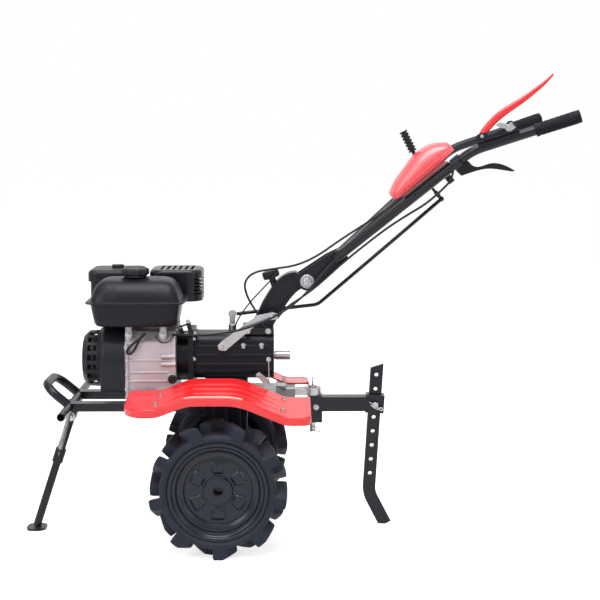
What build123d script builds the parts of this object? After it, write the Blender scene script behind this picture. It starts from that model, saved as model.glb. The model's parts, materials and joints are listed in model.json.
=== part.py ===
from build123d import *
import math
import os

# Walk-behind hand tractor on two lugged tyres, in millimetres.
# X points forward, Y to the driver's left, Z up. While modelling, X is counted from the wheel axle
# and Z from the ground; the written parts are shifted so that the origin is under the middle.

# Wheels and axle
WHEEL_RADIUS = 180.0
TRACK = 470.0
TYRE_WIDTH = 95.0
CARCASS_RADIUS = 150.0
RIM_RADIUS = 131.0
BEAD_RADIUS = 120.0
RIM_STEEL = 4.0
DISC_RING_RADIUS = 110.0
DISC_WELL_RADIUS = 89.0
HUB_RADIUS = 38.0
HUB_TUBE_RADIUS = 24.0
HUB_TUBE_LENGTH = 110.0
LUGS_PER_SIDE = 9
LUG_THICKNESS = 27.0
LUG_SWEEP = 34.0
LUG_FLARE = 5.0
LUG_OVERLAP = 7.0
HEX_FLATS = 23.5
JOURNAL_RADIUS = 15.0
AXLE_RECESS = 26.0
DISC_PADS = 6
DISC_PAD_HEIGHT = 3.0

# Running and seating clearances
RUN_CLEARANCE = 0.05
SEAT_CLEARANCE = 0.15
TUBE_GAP = 0.1

# Gear case
CRANK_Z = 492.0
LEG_FRONT = 45.0
LEG_REAR = -70.0
LEG_HALF_WIDTH = 42.0
LEG_FOOT_RADIUS = 62.0
LEG_CAP_RADIUS = 48.0
LEG_CAP_DEPTH = 12.0
CASE_TOP = 558.0
CASE_BOTTOM = 436.0
CASE_HALF_WIDTH = 62.0
CASE_CORNER_SHARE = 0.21
CASE_REAR = -143.0
CASE_FLANGE_X = 88.0
CASE_FLANGE_DEPTH = 14.0
BELL_HALF = 78.0
PTO_RADIUS = 12.5
PTO_LENGTH = 45.0
PTO_NECK = 4.0
PTO_NECK_RADIUS = 10.5
PTO_SEAT_DEPTH = 30.0

# Engine
ENGINE_REAR = 121.0
ENGINE_CRANK_Z = 485.0
CRANKCASE_LENGTH = 136.0
CRANKCASE_HALF_WIDTH = 90.0
CRANKCASE_TOP = 572.0
ENGINE_BASE_THICKNESS = 12.0
FAN_DEPTH = 69.0
FAN_RADIUS = 102.0
FAN_FLOOR = 400.0
FAN_FOOT = 8.0
RECOIL_DEPTH = 54.0
RECOIL_RADIUS = 78.0
RECOIL_WALL = 4.0
RECOIL_DRUM = 56.0
RECOIL_VENTS = 18
CYLINDER_LEAN = 25.0
CYLINDER_REACH = 222.0
TANK_LENGTH = 266.0
TANK_WIDTH = 190.0
TANK_MIDDLE_Y = 52.0
TANK_BOTTOM = 587.0
TANK_SEAM_Z = 651.0
TANK_TOP = 717.0
CAP_RADIUS = 38.0
CAP_HEIGHT = 25.0
CLEANER_TOP = 722.0
MUFFLER_TOP = 722.0
MUFFLER_HEIGHT = 88.0
MUFFLER_SHEET = 3.0

# Engine frame and stand
RAIL_SPACING = 162.0
RAIL_WIDTH = 36.0
RAIL_HEIGHT = 22.0
RAIL_TOP = 377.0
CROSS_TUBE_X = 410.0
CROSS_TUBE_RADIUS = 11.0
CROSS_TUBE_WALL = 2.5
CROSS_TUBE_LENGTH = 436.0
LOOP_RADIUS = 12.0
LOOP_REACH = 66.0
LOOP_RISE = 56.0
LOOP_SPACING = 160.0
STAND_PIVOT_X = 419.0
STAND_PIVOT_Z = 324.0
STAND_PIN_RADIUS = 6.0
STAND_LEG_RADIUS = 11.0
STAND_FOOT_X = 524.0
STAND_FOOT_LENGTH = 54.0
STAND_FOOT_WIDTH = 60.0
STAND_FOOT_PLATE = 6.0
STAND_EAR_GAP = 30.0
STAND_EAR_PLATE = 5.0
SPRING_RADIUS = 6.0
SPRING_Y = 30.0
SPRING_HANGER = (418.0, 346.0)
SPRING_PEG_RADIUS = 4.0

# Fenders
FENDER_INNER_Y = 105.0
FENDER_WIDTH = 178.0
FENDER_SHEET = 3.0
FENDER_TILT = 6.0
FENDER_FRONT_X = 245.0
FENDER_REAR_X = -242.0
FENDER_FRONT_FLAT_X = 155.0
FENDER_CROWN_FRONT_X = 78.0
FENDER_CROWN_REAR_X = -52.0
FENDER_TAIL_FLAT_X = -176.0
FENDER_FRONT_Z = 413.0
FENDER_CROWN_Z = 447.0
FENDER_TAIL_Z = 394.0
FENDER_LIP = 15.0
FENDER_LIP_WALL = 5.0
FENDER_BEAD = 10.0
FENDER_BEAD_FRONT_X = 146.0
FENDER_BEAD_REAR_X = -150.0
FENDER_BEAD_HEIGHT = 2.2
FENDER_FRONT_ROUND = 62.0
FENDER_REAR_ROUND = 22.0
FRONT_STAY_X = 200.0
REAR_STAY_X = -175.0
STAY_HALF = 26.0

# Hitch and drag bar
DRAWBAR_TOP = 410.0
DRAWBAR_BOTTOM = 381.0
DRAWBAR_HALF_WIDTH = 20.0
HITCH_PIN_X = -250.0
HITCH_PIN_RADIUS = 8.0
HITCH_EYE_RADIUS = 23.0
HITCH_EYE_TOP = 402.0
HITCH_BOX_BOTTOM = 307.0
HITCH_TUBE_SIDE = 40.0
HITCH_TUBE_WALL = 4.0
HITCH_TUBE_MIDDLE_Z = 357.0
HITCH_SWING_GAP = 1.0
DRAG_BAR_X = -422.0
DRAG_BAR_LEAN = 3.3
DRAG_BAR_WIDTH = 35.0
DRAG_BAR_THICKNESS = 12.0
DRAG_BAR_TOP = 468.0
DRAG_BAR_BOTTOM = 14.0
DRAG_TIP_REACH = 52.0
DRAG_TIP_RISE = 88.0
DRAG_BEND_RADIUS = 75.0
DRAG_HOLE_RADIUS = 5.5
DRAG_HOLE_PITCH = 40.0
DRAG_HOLES_ABOVE = 2
DRAG_HOLES_BELOW = 5
DRAG_SOCKET_WALL = 8.0
DRAG_PIN_RADIUS = 5.0

# Handlebar
COLUMN_HALF_WIDTH = 24.0
COLUMN_SEAT_HEIGHT = 18.0
COLUMN_FOOT_X = -100.0
COLUMN_FLANGE = 6.0
COLUMN_POCKET = 9.0
TILT_X = -234.0
TILT_Z = 700.0
TILT_BOLT_RADIUS = 8.0
BRACKET_PLATE = 5.0
BRACKET_GAP = 1.0
BRACKET_EYE_RADIUS = 25.0
HANDLE_TUBE_RADIUS = 12.5
HANDLE_TUBE_WALL = 2.5
HANDLE_FOOT = (-312.0, 26.0, 762.0)
HANDLE_BEND = (-652.0, 206.0, 1056.0)
HANDLE_END = (-912.0, 258.0, 1142.0)
HANDLE_BEND_RADIUS = 140.0
GRIP_LENGTH = 118.0
GRIP_RADIUS = 17.0
GRIP_END_WALL = 4.0
CONSOLE_START = 224.0
CONSOLE_LENGTH = 208.0
CONSOLE_HALF_WIDTH = 60.0
CONSOLE_HEIGHT = 58.0
CONSOLE_PLATE = 4.0
SHIFT_EYE_X = -27.0
SHIFT_EYE_Z = 602.0
SHIFT_ELBOW_X = -264.0
SHIFT_ELBOW_Z = 628.0
SHIFT_ROD_Y = -38.0
SHIFT_ROD_DROP = 56.0
ROD_RADIUS = 5.0
CABLE_RADIUS = 3.5

# Values that follow from the sizes above
AXLE_Z = WHEEL_RADIUS
WHEEL_Y = TRACK / 2
HEX_CORNER = HEX_FLATS / 2 / math.cos(math.radians(30))
HUB_FACE = TYRE_WIDTH / 2 - 20.0
AXLE_HALF = WHEEL_Y + HUB_FACE - AXLE_RECESS
JOURNAL_HALF = LEG_HALF_WIDTH + LEG_CAP_DEPTH + 2.0
RAIL_Y = RAIL_SPACING / 2
ENGINE_BASE_Z = RAIL_TOP
CRANKCASE_FRONT = ENGINE_REAR + CRANKCASE_LENGTH
FAN_FRONT = CRANKCASE_FRONT + FAN_DEPTH
TANK_REAR = ENGINE_REAR - 29.0
GRIP_RUN = Vector(*HANDLE_END) - Vector(*HANDLE_BEND)
GRIP_SLOPE = GRIP_RUN.X / GRIP_RUN.length
X_FRONT = STAND_FOOT_X + STAND_FOOT_LENGTH / 2
X_REAR = HANDLE_END[0] + GRIP_SLOPE * GRIP_END_WALL - GRIP_RADIUS * math.sqrt(1 - GRIP_SLOPE ** 2)
X_MIDDLE = (X_FRONT + X_REAR) / 2


def block(x0, x1, y0, y1, z0, z1):
    """A box between two corners."""
    middle = Pos((x0 + x1) / 2, (y0 + y1) / 2, (z0 + z1) / 2)
    return middle * Box(abs(x1 - x0), abs(y1 - y0), abs(z1 - z0))


def rod_x(x0, x1, y, z, radius):
    return Pos((x0 + x1) / 2, y, z) * Rot(0, 90, 0) * Cylinder(radius, abs(x1 - x0))


def rod_y(y0, y1, x, z, radius):
    return Pos(x, (y0 + y1) / 2, z) * Rot(90, 0, 0) * Cylinder(radius, abs(y1 - y0))


def rod_z(z0, z1, x, y, radius):
    return Pos(x, y, (z0 + z1) / 2) * Cylinder(radius, abs(z1 - z0))


def side_plate(face, y0, y1):
    """A face drawn in X and Z, made into a plate from y0 to y1."""
    return extrude(Plane.XZ.offset(-max(y0, y1)) * face, amount=abs(y1 - y0))


def side_polygon(points):
    """A closed outline in X and Z."""
    return make_face(Polyline(*points, close=True).edges())


def pipe(points, radii, radius, wall=0.0):
    """A round bar or tube along straight runs joined by tangent arcs."""
    path = FilletPolyline(*points, radius=radii)
    section = Plane(origin=path @ 0, z_dir=path % 0) * Circle(radius)
    if wall:
        section = section - Plane(origin=path @ 0, z_dir=path % 0) * Circle(radius - wall)
    return sweep(section, path=path)


def lathe_y(points):
    """A ring turned about the axle; points are (radius, distance along Y from the wheel's middle)."""
    section = make_face(Polyline(*points, close=True).edges())
    return Pos(0, 0, AXLE_Z) * revolve(Plane.XY * section, axis=Axis.Y)


def mirrored(part):
    return mirror(part, about=Plane.XZ)


# Wheels

def lug(angle, side):
    """One tread lug: a slanted bar from the shoulder past the middle of the tread."""
    outer = TYRE_WIDTH / 2
    inner = -LUG_OVERLAP
    half = LUG_THICKNESS / 2

    def outline(radius, flare):
        corners = [
            (-half - flare, side * outer),
            (half + flare, side * outer),
            (half + flare + LUG_SWEEP, side * inner),
            (-half - flare + LUG_SWEEP, side * inner),
        ]
        return Plane(origin=(0, 0, radius), x_dir=(1, 0, 0), z_dir=(0, 0, 1)) * make_face(
            Polyline(*corners, close=True).edges())

    root_radius = CARCASS_RADIUS - 12.0
    bar = loft([outline(root_radius, LUG_FLARE), outline(WHEEL_RADIUS + 6.0, 0.0)])
    tread = Rot(90, 0, 0) * Cylinder(WHEEL_RADIUS, TYRE_WIDTH)
    return Rot(0, angle, 0) * (bar & Rot(0, -angle, 0) * tread)


def tyre(y):
    half = TYRE_WIDTH / 2
    shoulder = half - 10.0
    bead = half - 8.0
    section = [
        (BEAD_RADIUS, -bead),
        (RIM_RADIUS + 2.0, -bead),
        (RIM_RADIUS + 6.0, -half),
        (CARCASS_RADIUS - 7.0, -half),
        (CARCASS_RADIUS, -shoulder),
        (CARCASS_RADIUS, shoulder),
        (CARCASS_RADIUS - 7.0, half),
        (RIM_RADIUS + 6.0, half),
        (RIM_RADIUS + 2.0, bead),
        (BEAD_RADIUS, bead),
    ]
    body = lathe_y(section)
    step = 360.0 / LUGS_PER_SIDE
    for number in range(LUGS_PER_SIDE):
        body += Pos(0, 0, AXLE_Z) * lug(180.0 + number * step, 1)
        body += Pos(0, 0, AXLE_Z) * lug(180.0 + (number + 0.5) * step, -1)
    return Pos(0, y, 0) * body


def rim(y):
    """Pressed steel wheel: two flanges, a disc pressed in rings and pads, and a hub with a hexagon bore."""
    half = TYRE_WIDTH / 2
    bead = half - 8.0
    seat = BEAD_RADIUS - SEAT_CLEARANCE
    flange = bead + SEAT_CLEARANCE
    barrel = [
        (seat - RIM_STEEL, -flange - RIM_STEEL),
        (RIM_RADIUS, -flange - RIM_STEEL),
        (RIM_RADIUS, -flange),
        (seat, -flange),
        (seat, flange),
        (RIM_RADIUS, flange),
        (RIM_RADIUS - 2.0, flange + RIM_STEEL),
        (seat + 2.0, flange + RIM_STEEL),
        (seat - RIM_STEEL, flange - 2.0),
    ]
    ring_y = flange - 6.0
    groove = 5.0
    step_y = ring_y - 9.0
    well_y = step_y - 6.0
    front = [
        (seat - RIM_STEEL, ring_y - 4.0),
        (DISC_RING_RADIUS + 1.0, ring_y),
        (DISC_RING_RADIUS - 1.5, ring_y - groove),
        (DISC_RING_RADIUS - 6.0, ring_y - groove + 1.5),
        (DISC_WELL_RADIUS + 6.0, step_y),
        (DISC_WELL_RADIUS + 1.5, step_y + 1.0),
        (DISC_WELL_RADIUS - 1.5, step_y - groove - 2.0),
        (DISC_WELL_RADIUS - 7.0, well_y),
        (HUB_RADIUS, well_y),
    ]
    back = [(radius, depth - RIM_STEEL) for radius, depth in reversed(front)]
    hub = [
        (0.0, HUB_FACE - HUB_TUBE_LENGTH),
        (HUB_TUBE_RADIUS, HUB_FACE - HUB_TUBE_LENGTH),
        (HUB_TUBE_RADIUS, well_y - 12.0),
        (HUB_RADIUS, well_y - 12.0),
        (HUB_RADIUS, HUB_FACE - 4.0),
        (HUB_RADIUS - 4.0, HUB_FACE),
        (0.0, HUB_FACE),
    ]
    wheel = lathe_y(barrel) + lathe_y(front + back) + lathe_y(hub)
    pad_inner, pad_outer = HUB_RADIUS + 9.0, DISC_WELL_RADIUS - 14.0
    pad = make_face(Polyline(
        (-7, pad_inner), (7, pad_inner), (15, pad_outer), (-15, pad_outer), close=True).edges())
    for number in range(DISC_PADS):
        turn = Rot(0, (number + 0.5) * 360.0 / DISC_PADS, 0)
        wheel += Pos(0, 0, AXLE_Z) * turn * side_plate(pad, well_y - 1.0, well_y + DISC_PAD_HEIGHT)
    bore = RegularPolygon(HEX_CORNER + SEAT_CLEARANCE / math.cos(math.radians(30)), 6)
    wheel -= Pos(0, 0, AXLE_Z) * side_plate(bore, -HUB_TUBE_LENGTH, half)
    return Pos(0, y, 0) * wheel


def axle():
    """One hexagon shaft through the gear case, round where it runs in the case."""
    hexagon = side_plate(RegularPolygon(HEX_CORNER, 6), -AXLE_HALF, AXLE_HALF)
    journal = rod_y(-JOURNAL_HALF, JOURNAL_HALF, 0, 0, JOURNAL_RADIUS)
    return Pos(0, 0, AXLE_Z) * (hexagon + journal)


# Gear case

def gear_leg():
    """Lower gear case: a ribbed leg that widens into the axle bearings."""
    outline = side_polygon([
        (LEG_FRONT, CASE_BOTTOM),
        (LEG_FRONT, RAIL_TOP - RAIL_HEIGHT - 5.0),
        (LEG_FOOT_RADIUS, AXLE_Z),
        (-LEG_FOOT_RADIUS, AXLE_Z),
        (LEG_REAR, RAIL_TOP - RAIL_HEIGHT - 5.0),
        (LEG_REAR, CASE_BOTTOM),
    ])
    leg = side_plate(outline, -LEG_HALF_WIDTH, LEG_HALF_WIDTH)
    leg += rod_y(-LEG_HALF_WIDTH, LEG_HALF_WIDTH, 0, AXLE_Z, LEG_FOOT_RADIUS)
    cap_face = LEG_HALF_WIDTH + LEG_CAP_DEPTH
    leg += rod_y(-cap_face, cap_face, 0, AXLE_Z, LEG_CAP_RADIUS)
    rib_depth = 4.0
    for x in (LEG_REAR + 22.0, (LEG_FRONT + LEG_REAR) / 2, LEG_FRONT - 22.0):
        for side in (1, -1):
            outer = side * (LEG_HALF_WIDTH + rib_depth)
            leg += block(x - 3, x + 3, side * (LEG_HALF_WIDTH - 2), outer, AXLE_Z + 50.0, CASE_BOTTOM - 12.0)
    return leg - rod_y(-cap_face, cap_face, 0, AXLE_Z, JOURNAL_RADIUS + RUN_CLEARANCE)


def gear_case():
    """Upper gear case behind the engine, with its clutch bell and flange."""
    middle_z = (CASE_TOP + CASE_BOTTOM) / 2
    height = CASE_TOP - CASE_BOTTOM
    section = Plane(origin=(CASE_REAR, 0, middle_z), x_dir=(0, 1, 0), z_dir=(1, 0, 0)) * RectangleRounded(
        2 * CASE_HALF_WIDTH, height, CASE_CORNER_SHARE * height)
    case = extrude(section, amount=CASE_FLANGE_X - CASE_REAR)
    bell_plane = Plane(origin=(CASE_FLANGE_X, 0, CRANK_Z), x_dir=(0, 1, 0), z_dir=(1, 0, 0))
    bell = bell_plane * RectangleRounded(2 * BELL_HALF, 2 * BELL_HALF, 34)
    flange = extrude(bell, amount=-CASE_FLANGE_DEPTH)
    throat = extrude(bell_plane * Circle(BELL_HALF - 10.0), amount=ENGINE_REAR - CASE_FLANGE_X)
    case += flange + throat
    for z in (middle_z - 20.0, middle_z + 5.0, middle_z + 30.0):
        for side in (1, -1):
            case += block(CASE_REAR + 8, CASE_FLANGE_X, side * (CASE_HALF_WIDTH - 2),
                          side * (CASE_HALF_WIDTH + 4), z - 3, z + 3)
    case -= rod_x(CASE_REAR, CASE_REAR + PTO_SEAT_DEPTH, 0, CRANK_Z, PTO_NECK_RADIUS + SEAT_CLEARANCE)
    return case


def pto_shaft():
    """Output shaft that sticks out of the back of the gear case."""
    shaft = rod_x(CASE_REAR - PTO_LENGTH, CASE_REAR - PTO_NECK, 0, CRANK_Z, PTO_RADIUS)
    return shaft + rod_x(CASE_REAR - PTO_NECK, CASE_REAR + PTO_SEAT_DEPTH, 0, CRANK_Z, PTO_NECK_RADIUS)


def shift_arm():
    """Upright arm on top of the gear case, with the eye that takes the shift rod."""
    x = SHIFT_EYE_X
    eye_z = SHIFT_EYE_Z
    y = SHIFT_ROD_Y
    post = rod_z(CASE_TOP, CASE_TOP + 14.0, x, y, 11)
    arm = block(x - 8, x + 8, y - 3, y + 3, CASE_TOP + 10.0, eye_z)
    eye = rod_y(y - 5, y + 5, x, eye_z, 11)
    return post + arm + eye


# Engine

def crankcase():
    """Die-cast block with ribs, bosses, feet and the two tank posts."""
    base_z = ENGINE_BASE_Z + ENGINE_BASE_THICKNESS
    half = CRANKCASE_HALF_WIDTH
    outline = Plane(origin=(ENGINE_REAR, 0, 0), x_dir=(0, 1, 0), z_dir=(1, 0, 0)) * make_face(Polyline(
        (-half, base_z), (half, base_z), (half, CRANKCASE_TOP - 30.0), (half - 24.0, CRANKCASE_TOP),
        (-half + 24.0, CRANKCASE_TOP), (-half, CRANKCASE_TOP - 30.0), close=True).edges())
    body = extrude(outline, amount=CRANKCASE_LENGTH)
    body = fillet(body.edges().filter_by(Axis.X), radius=9)
    foot = RAIL_Y + RAIL_WIDTH / 2
    body += block(ENGINE_REAR + 8, CRANKCASE_FRONT - 8, -foot, foot, ENGINE_BASE_Z, base_z)
    rim = 9.0
    body += block(CRANKCASE_FRONT - rim, CRANKCASE_FRONT, -half - 5, half + 5, base_z, CRANKCASE_TOP - 34.0)
    body += block(ENGINE_REAR, ENGINE_REAR + rim, -half - 4, half + 4, base_z, CRANKCASE_TOP - 34.0)
    for z in (ENGINE_CRANK_Z + 9.0, ENGINE_CRANK_Z - 24.0, ENGINE_CRANK_Z - 48.0):
        body += block(ENGINE_REAR + 20, CRANKCASE_FRONT - rim, half - 2, half + 2.5, z - 2, z + 2)
    boss_length = 38.0
    for z in (ENGINE_CRANK_Z + 19.0, ENGINE_CRANK_Z - 2.0):
        body += rod_x(ENGINE_REAR, ENGINE_REAR + boss_length, half + 1.0, z, 6.5)
    body += rod_y(half - 2, half + 6, ENGINE_REAR + rim + 3.0, ENGINE_CRANK_Z - 41.0, 13)
    post_y = half - 14.0
    for x in (ENGINE_REAR + 34.0, CRANKCASE_FRONT - 10.0):
        body += rod_z(CRANKCASE_TOP - 30.0, TANK_BOTTOM, x, post_y, 10)
    return body


def cylinder():
    """Finned cylinder, head and valve cover, leaning to the right."""
    middle_x = ENGINE_REAR + CRANKCASE_LENGTH / 2
    start = CRANKCASE_HALF_WIDTH / math.cos(math.radians(CYLINDER_LEAN)) + 12.0
    root = CRANKCASE_HALF_WIDTH / 2
    parts = Pos(0, 0, (root + CYLINDER_REACH) / 2) * Box(88, 84, CYLINDER_REACH - root)
    fin_pitch = 9.0
    fin_count = int((CYLINDER_REACH - 62.0 - start) / fin_pitch)
    for number in range(fin_count):
        parts += Pos(0, 0, start + 8.0 + number * fin_pitch) * Box(124, 108, 3.5)
    parts += Pos(0, 0, CYLINDER_REACH - 42.0) * Box(118, 104, 26)
    parts += Pos(0, 0, CYLINDER_REACH - 16.0) * Box(96, 82, 32)
    lean = Rot(90.0 - CYLINDER_LEAN, 0, 0)
    return Pos(middle_x, 0, ENGINE_CRANK_Z) * lean * parts - crankcase()


def fan_cover():
    """Blower housing: round above, straight-sided down to its foot, and wider over the cylinder."""
    plane = Plane(origin=(CRANKCASE_FRONT, 0, ENGINE_CRANK_Z), x_dir=(0, 1, 0), z_dir=(1, 0, 0))
    over_cylinder = Pos(-70, FAN_RADIUS - 70) * RectangleRounded(150, 140, 26)
    drop = ENGINE_CRANK_Z - FAN_FLOOR
    legs = Pos(0, -drop / 2) * Rectangle(2 * FAN_RADIUS - 20.0, drop)
    scroll = make_hull(Circle(FAN_RADIUS).edges() + over_cylinder.edges() + legs.edges())
    cover = extrude(plane * scroll, amount=FAN_DEPTH)
    cover = fillet(cover.faces().sort_by(Axis.X)[-1].edges().sort_by(Axis.Z)[2:], radius=14)
    cover -= block(0, 900, -900, 900, 0, FAN_FLOOR)
    side = FAN_RADIUS - 10.0
    return cover + block(CRANKCASE_FRONT, FAN_FRONT - 8, -side, side + 8.0, FAN_FLOOR, FAN_FLOOR + FAN_FOOT)


def recoil_starter():
    """Starter cover in front of the fan: a thin shell with windows round its rim, slots in its face and the
    rope's housing standing inside."""
    radius = RECOIL_RADIUS
    inner = radius - RECOIL_WALL
    depth = RECOIL_DEPTH
    section = make_face(Polyline(
        (radius + 6.0, 0), (radius + 6.0, 5.0), (radius, 8.0),
        (radius - 2.0, depth - 16.0), (radius - 14.0, depth - 3.0), (28, depth), (0, depth),
        (0, depth - RECOIL_WALL), (28, depth - RECOIL_WALL), (inner - 14.0, depth - 3.0 - RECOIL_WALL),
        (inner - 2.0, depth - 18.0), (inner, 0), close=True).edges())
    cover = revolve(Plane.XZ * section, axis=Axis.Z)
    housing = Circle(RECOIL_DRUM) - Circle(RECOIL_DRUM - RECOIL_WALL)
    cover += extrude(Pos(0, 0, RECOIL_WALL) * housing, amount=depth - 2 * RECOIL_WALL + 0.5)
    step = 360.0 / RECOIL_VENTS
    for number in range(RECOIL_VENTS):
        for low, high in ((11.0, 20.0), (24.0, depth - 19.0)):
            window = Pos(radius, 0, (low + high) / 2) * Box(5 * RECOIL_WALL, 16, high - low)
            cover -= Rot(0, 0, number * step) * window
        slot = Pos((radius + 18.0) / 2, 0, depth - 3.0) * Box(radius - 50.0, 8, 4 * RECOIL_WALL)
        cover -= Rot(0, 0, (number + 0.5) * step) * slot
    return Pos(FAN_FRONT, 0, ENGINE_CRANK_Z) * Rot(0, 90, 0) * cover


def fuel_tank():
    """Pressed tank in two halves with a seam flange."""
    middle_x = TANK_REAR + TANK_LENGTH / 2
    lip = 12.0
    seam = Pos(middle_x, TANK_MIDDLE_Y, TANK_SEAM_Z) * extrude(
        RectangleRounded(TANK_LENGTH, TANK_WIDTH, 34), amount=5)
    tub_face = Pos(middle_x, TANK_MIDDLE_Y, TANK_SEAM_Z) * RectangleRounded(
        TANK_LENGTH - 2 * lip, TANK_WIDTH - 2 * lip, 30)
    tub = extrude(tub_face, amount=-(TANK_SEAM_Z - TANK_BOTTOM), taper=6)
    tub = fillet(tub.faces().sort_by(Axis.Z)[0].edges(), radius=12)
    dome = extrude(tub_face, amount=TANK_TOP - TANK_SEAM_Z, taper=12)
    dome = fillet(dome.faces().sort_by(Axis.Z)[-1].edges(), radius=20)
    return tub + dome + seam


def fuel_cap():
    """Scalloped filler cap."""
    x = TANK_REAR + TANK_LENGTH * 0.515
    y = TANK_MIDDLE_Y + 10.0
    cap = rod_z(TANK_TOP, TANK_TOP + CAP_HEIGHT, x, y, CAP_RADIUS)
    lobes = 10
    for number in range(lobes):
        turn = Rot(0, 0, number * 360.0 / lobes)
        scoop = Pos(CAP_RADIUS + 4, 0, 0) * Cylinder(7, 1.4 * CAP_HEIGHT)
        cap -= Pos(x, y, TANK_TOP + CAP_HEIGHT) * turn * scoop
    return cap


def air_cleaner():
    """Air cleaner box at the front right, on the carburettor, with its wing knob."""
    x0 = CRANKCASE_FRONT - 34.0
    x1 = FAN_FRONT + 51.0
    y0 = -196.0
    y1 = TANK_MIDDLE_Y - TANK_WIDTH / 2 - 10.0
    height = 112.0
    lid = 32.0
    low = CLEANER_TOP - height
    middle = Pos((x0 + x1) / 2, (y0 + y1) / 2, low)
    shell = middle * extrude(RectangleRounded(x1 - x0 - 12, y1 - y0 - 12, 22), amount=height - lid)
    cover = middle * Pos(0, 0, height - lid) * extrude(RectangleRounded(x1 - x0, y1 - y0, 26), amount=lid)
    cover = fillet(cover.faces().sort_by(Axis.Z)[-1].edges(), radius=12)
    knob = rod_z(CLEANER_TOP, CLEANER_TOP + 9.0, (x0 + x1) / 2, (y0 + y1) / 2, 17)
    carburettor = block(x0, CRANKCASE_FRONT - 2, y0 + 14, y0 + 62, low - 60.0, low)
    return shell + cover + knob + carburettor - cylinder()


def muffler():
    """Muffler guard at the rear right, above the head: a louvred sheet-metal box."""
    x0 = ENGINE_REAR - 62.0
    x1 = CRANKCASE_FRONT - 51.0
    y0 = -200.0
    y1 = TANK_MIDDLE_Y - TANK_WIDTH / 2 - 10.0
    low = MUFFLER_TOP - MUFFLER_HEIGHT
    middle = Pos((x0 + x1) / 2, (y0 + y1) / 2, low)
    guard = middle * extrude(RectangleRounded(x1 - x0, y1 - y0, 40), amount=MUFFLER_HEIGHT)
    guard = fillet(guard.faces().sort_by(Axis.Z)[-1].edges(), radius=10)
    sheet = 2 * MUFFLER_SHEET
    inner_outline = RectangleRounded(x1 - x0 - sheet, y1 - y0 - sheet, 40 - sheet)
    inside = extrude(inner_outline, amount=MUFFLER_HEIGHT - 2 * sheet)
    guard -= middle * Pos(0, 0, sheet) * inside
    louvres = 5
    for number in range(louvres):
        z = low + 18.0 + number * 10.0
        guard -= block(x0 - 1, x0 + 22, y0 - 1, y1 + 1, z, z + 4.5)
    slots = 6
    for number in range(slots):
        x = x0 + 26.0 + number * 17.0
        guard -= block(x, x + 7, y0 + 22, y1 - 22, MUFFLER_TOP - 3 * sheet, MUFFLER_TOP + 1)
    pipe_down = block(x1 - 70, x1 - 40, y0 + 40, y0 + 70, low - 30.0, low + 1.0)
    return guard + pipe_down - cylinder()


# Engine frame and stand

def rail(side):
    """Engine bearer from the cross tube back to the gear case."""
    y = side * RAIL_Y
    bar = block(LEG_FRONT + 5, CROSS_TUBE_X, y - RAIL_WIDTH / 2, y + RAIL_WIDTH / 2,
                RAIL_TOP - RAIL_HEIGHT, RAIL_TOP)
    bore = CROSS_TUBE_RADIUS + TUBE_GAP
    return bar - rod_y(y - RAIL_WIDTH, y + RAIL_WIDTH, CROSS_TUBE_X, cross_tube_z(), bore)


def cross_tube_z():
    return RAIL_TOP - RAIL_HEIGHT / 2


def bearer_plate():
    """Cross plate that ties the two bearers to the front of the gear leg."""
    half = RAIL_Y - RAIL_WIDTH / 2
    return block(LEG_FRONT, LEG_FRONT + 50, -half, half, RAIL_TOP - RAIL_HEIGHT, RAIL_TOP)


def cross_tube():
    half = CROSS_TUBE_LENGTH / 2
    tube = rod_y(-half, half, CROSS_TUBE_X, cross_tube_z(), CROSS_TUBE_RADIUS)
    return tube - rod_y(-half, half, CROSS_TUBE_X, cross_tube_z(), CROSS_TUBE_RADIUS - CROSS_TUBE_WALL)


def front_loop():
    """Bent guard tube in front of the cross tube."""
    y = LOOP_SPACING / 2
    z = cross_tube_z()
    apex_x = CROSS_TUBE_X + LOOP_REACH
    apex_z = z + LOOP_RISE
    points = [
        (CROSS_TUBE_X, y, z),
        (apex_x, y, apex_z),
        (apex_x, -y, apex_z),
        (CROSS_TUBE_X, -y, z),
    ]
    bend = 0.5 * math.hypot(LOOP_REACH, LOOP_RISE)
    tube = pipe(points, bend, LOOP_RADIUS)
    tube -= block(CROSS_TUBE_X - 50, CROSS_TUBE_X, -LOOP_SPACING, LOOP_SPACING, z - 50, z + 50)
    return tube - rod_y(-LOOP_SPACING, LOOP_SPACING, CROSS_TUBE_X, z, CROSS_TUBE_RADIUS + TUBE_GAP)


def stand_bracket():
    """Two ears and a top plate that hang from the cross tube and carry the stand pin."""
    inner = STAND_EAR_GAP / 2
    outer = inner + STAND_EAR_PLATE
    z = cross_tube_z()
    outline = side_polygon([
        (CROSS_TUBE_X - 18, z),
        (CROSS_TUBE_X + 18, z),
        (STAND_PIVOT_X + 13, STAND_PIVOT_Z),
        (STAND_PIVOT_X - 13, STAND_PIVOT_Z),
    ])
    ear = side_plate(outline, inner, outer) + rod_y(inner, outer, STAND_PIVOT_X, STAND_PIVOT_Z, 13)
    ears = ear + mirrored(ear)
    ears += block(CROSS_TUBE_X - 18, CROSS_TUBE_X + 18, -outer, outer, z - CROSS_TUBE_RADIUS - 4, z)
    ears -= rod_y(-outer, outer, CROSS_TUBE_X, z, CROSS_TUBE_RADIUS + TUBE_GAP)
    pin = rod_y(-outer - 2, outer + 2, STAND_PIVOT_X, STAND_PIVOT_Z, STAND_PIN_RADIUS)
    peg_x, peg_z = SPRING_HANGER
    peg = rod_y(inner, SPRING_Y + SPRING_RADIUS, peg_x, peg_z, SPRING_PEG_RADIUS)
    return ears + pin + peg


def spring_foot():
    """Place of the spring's lower peg in X and Z, a third of the way down the leg."""
    share = 0.31
    x = STAND_PIVOT_X + share * (STAND_FOOT_X - STAND_PIVOT_X)
    return x, STAND_PIVOT_Z * (1 - share)


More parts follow.
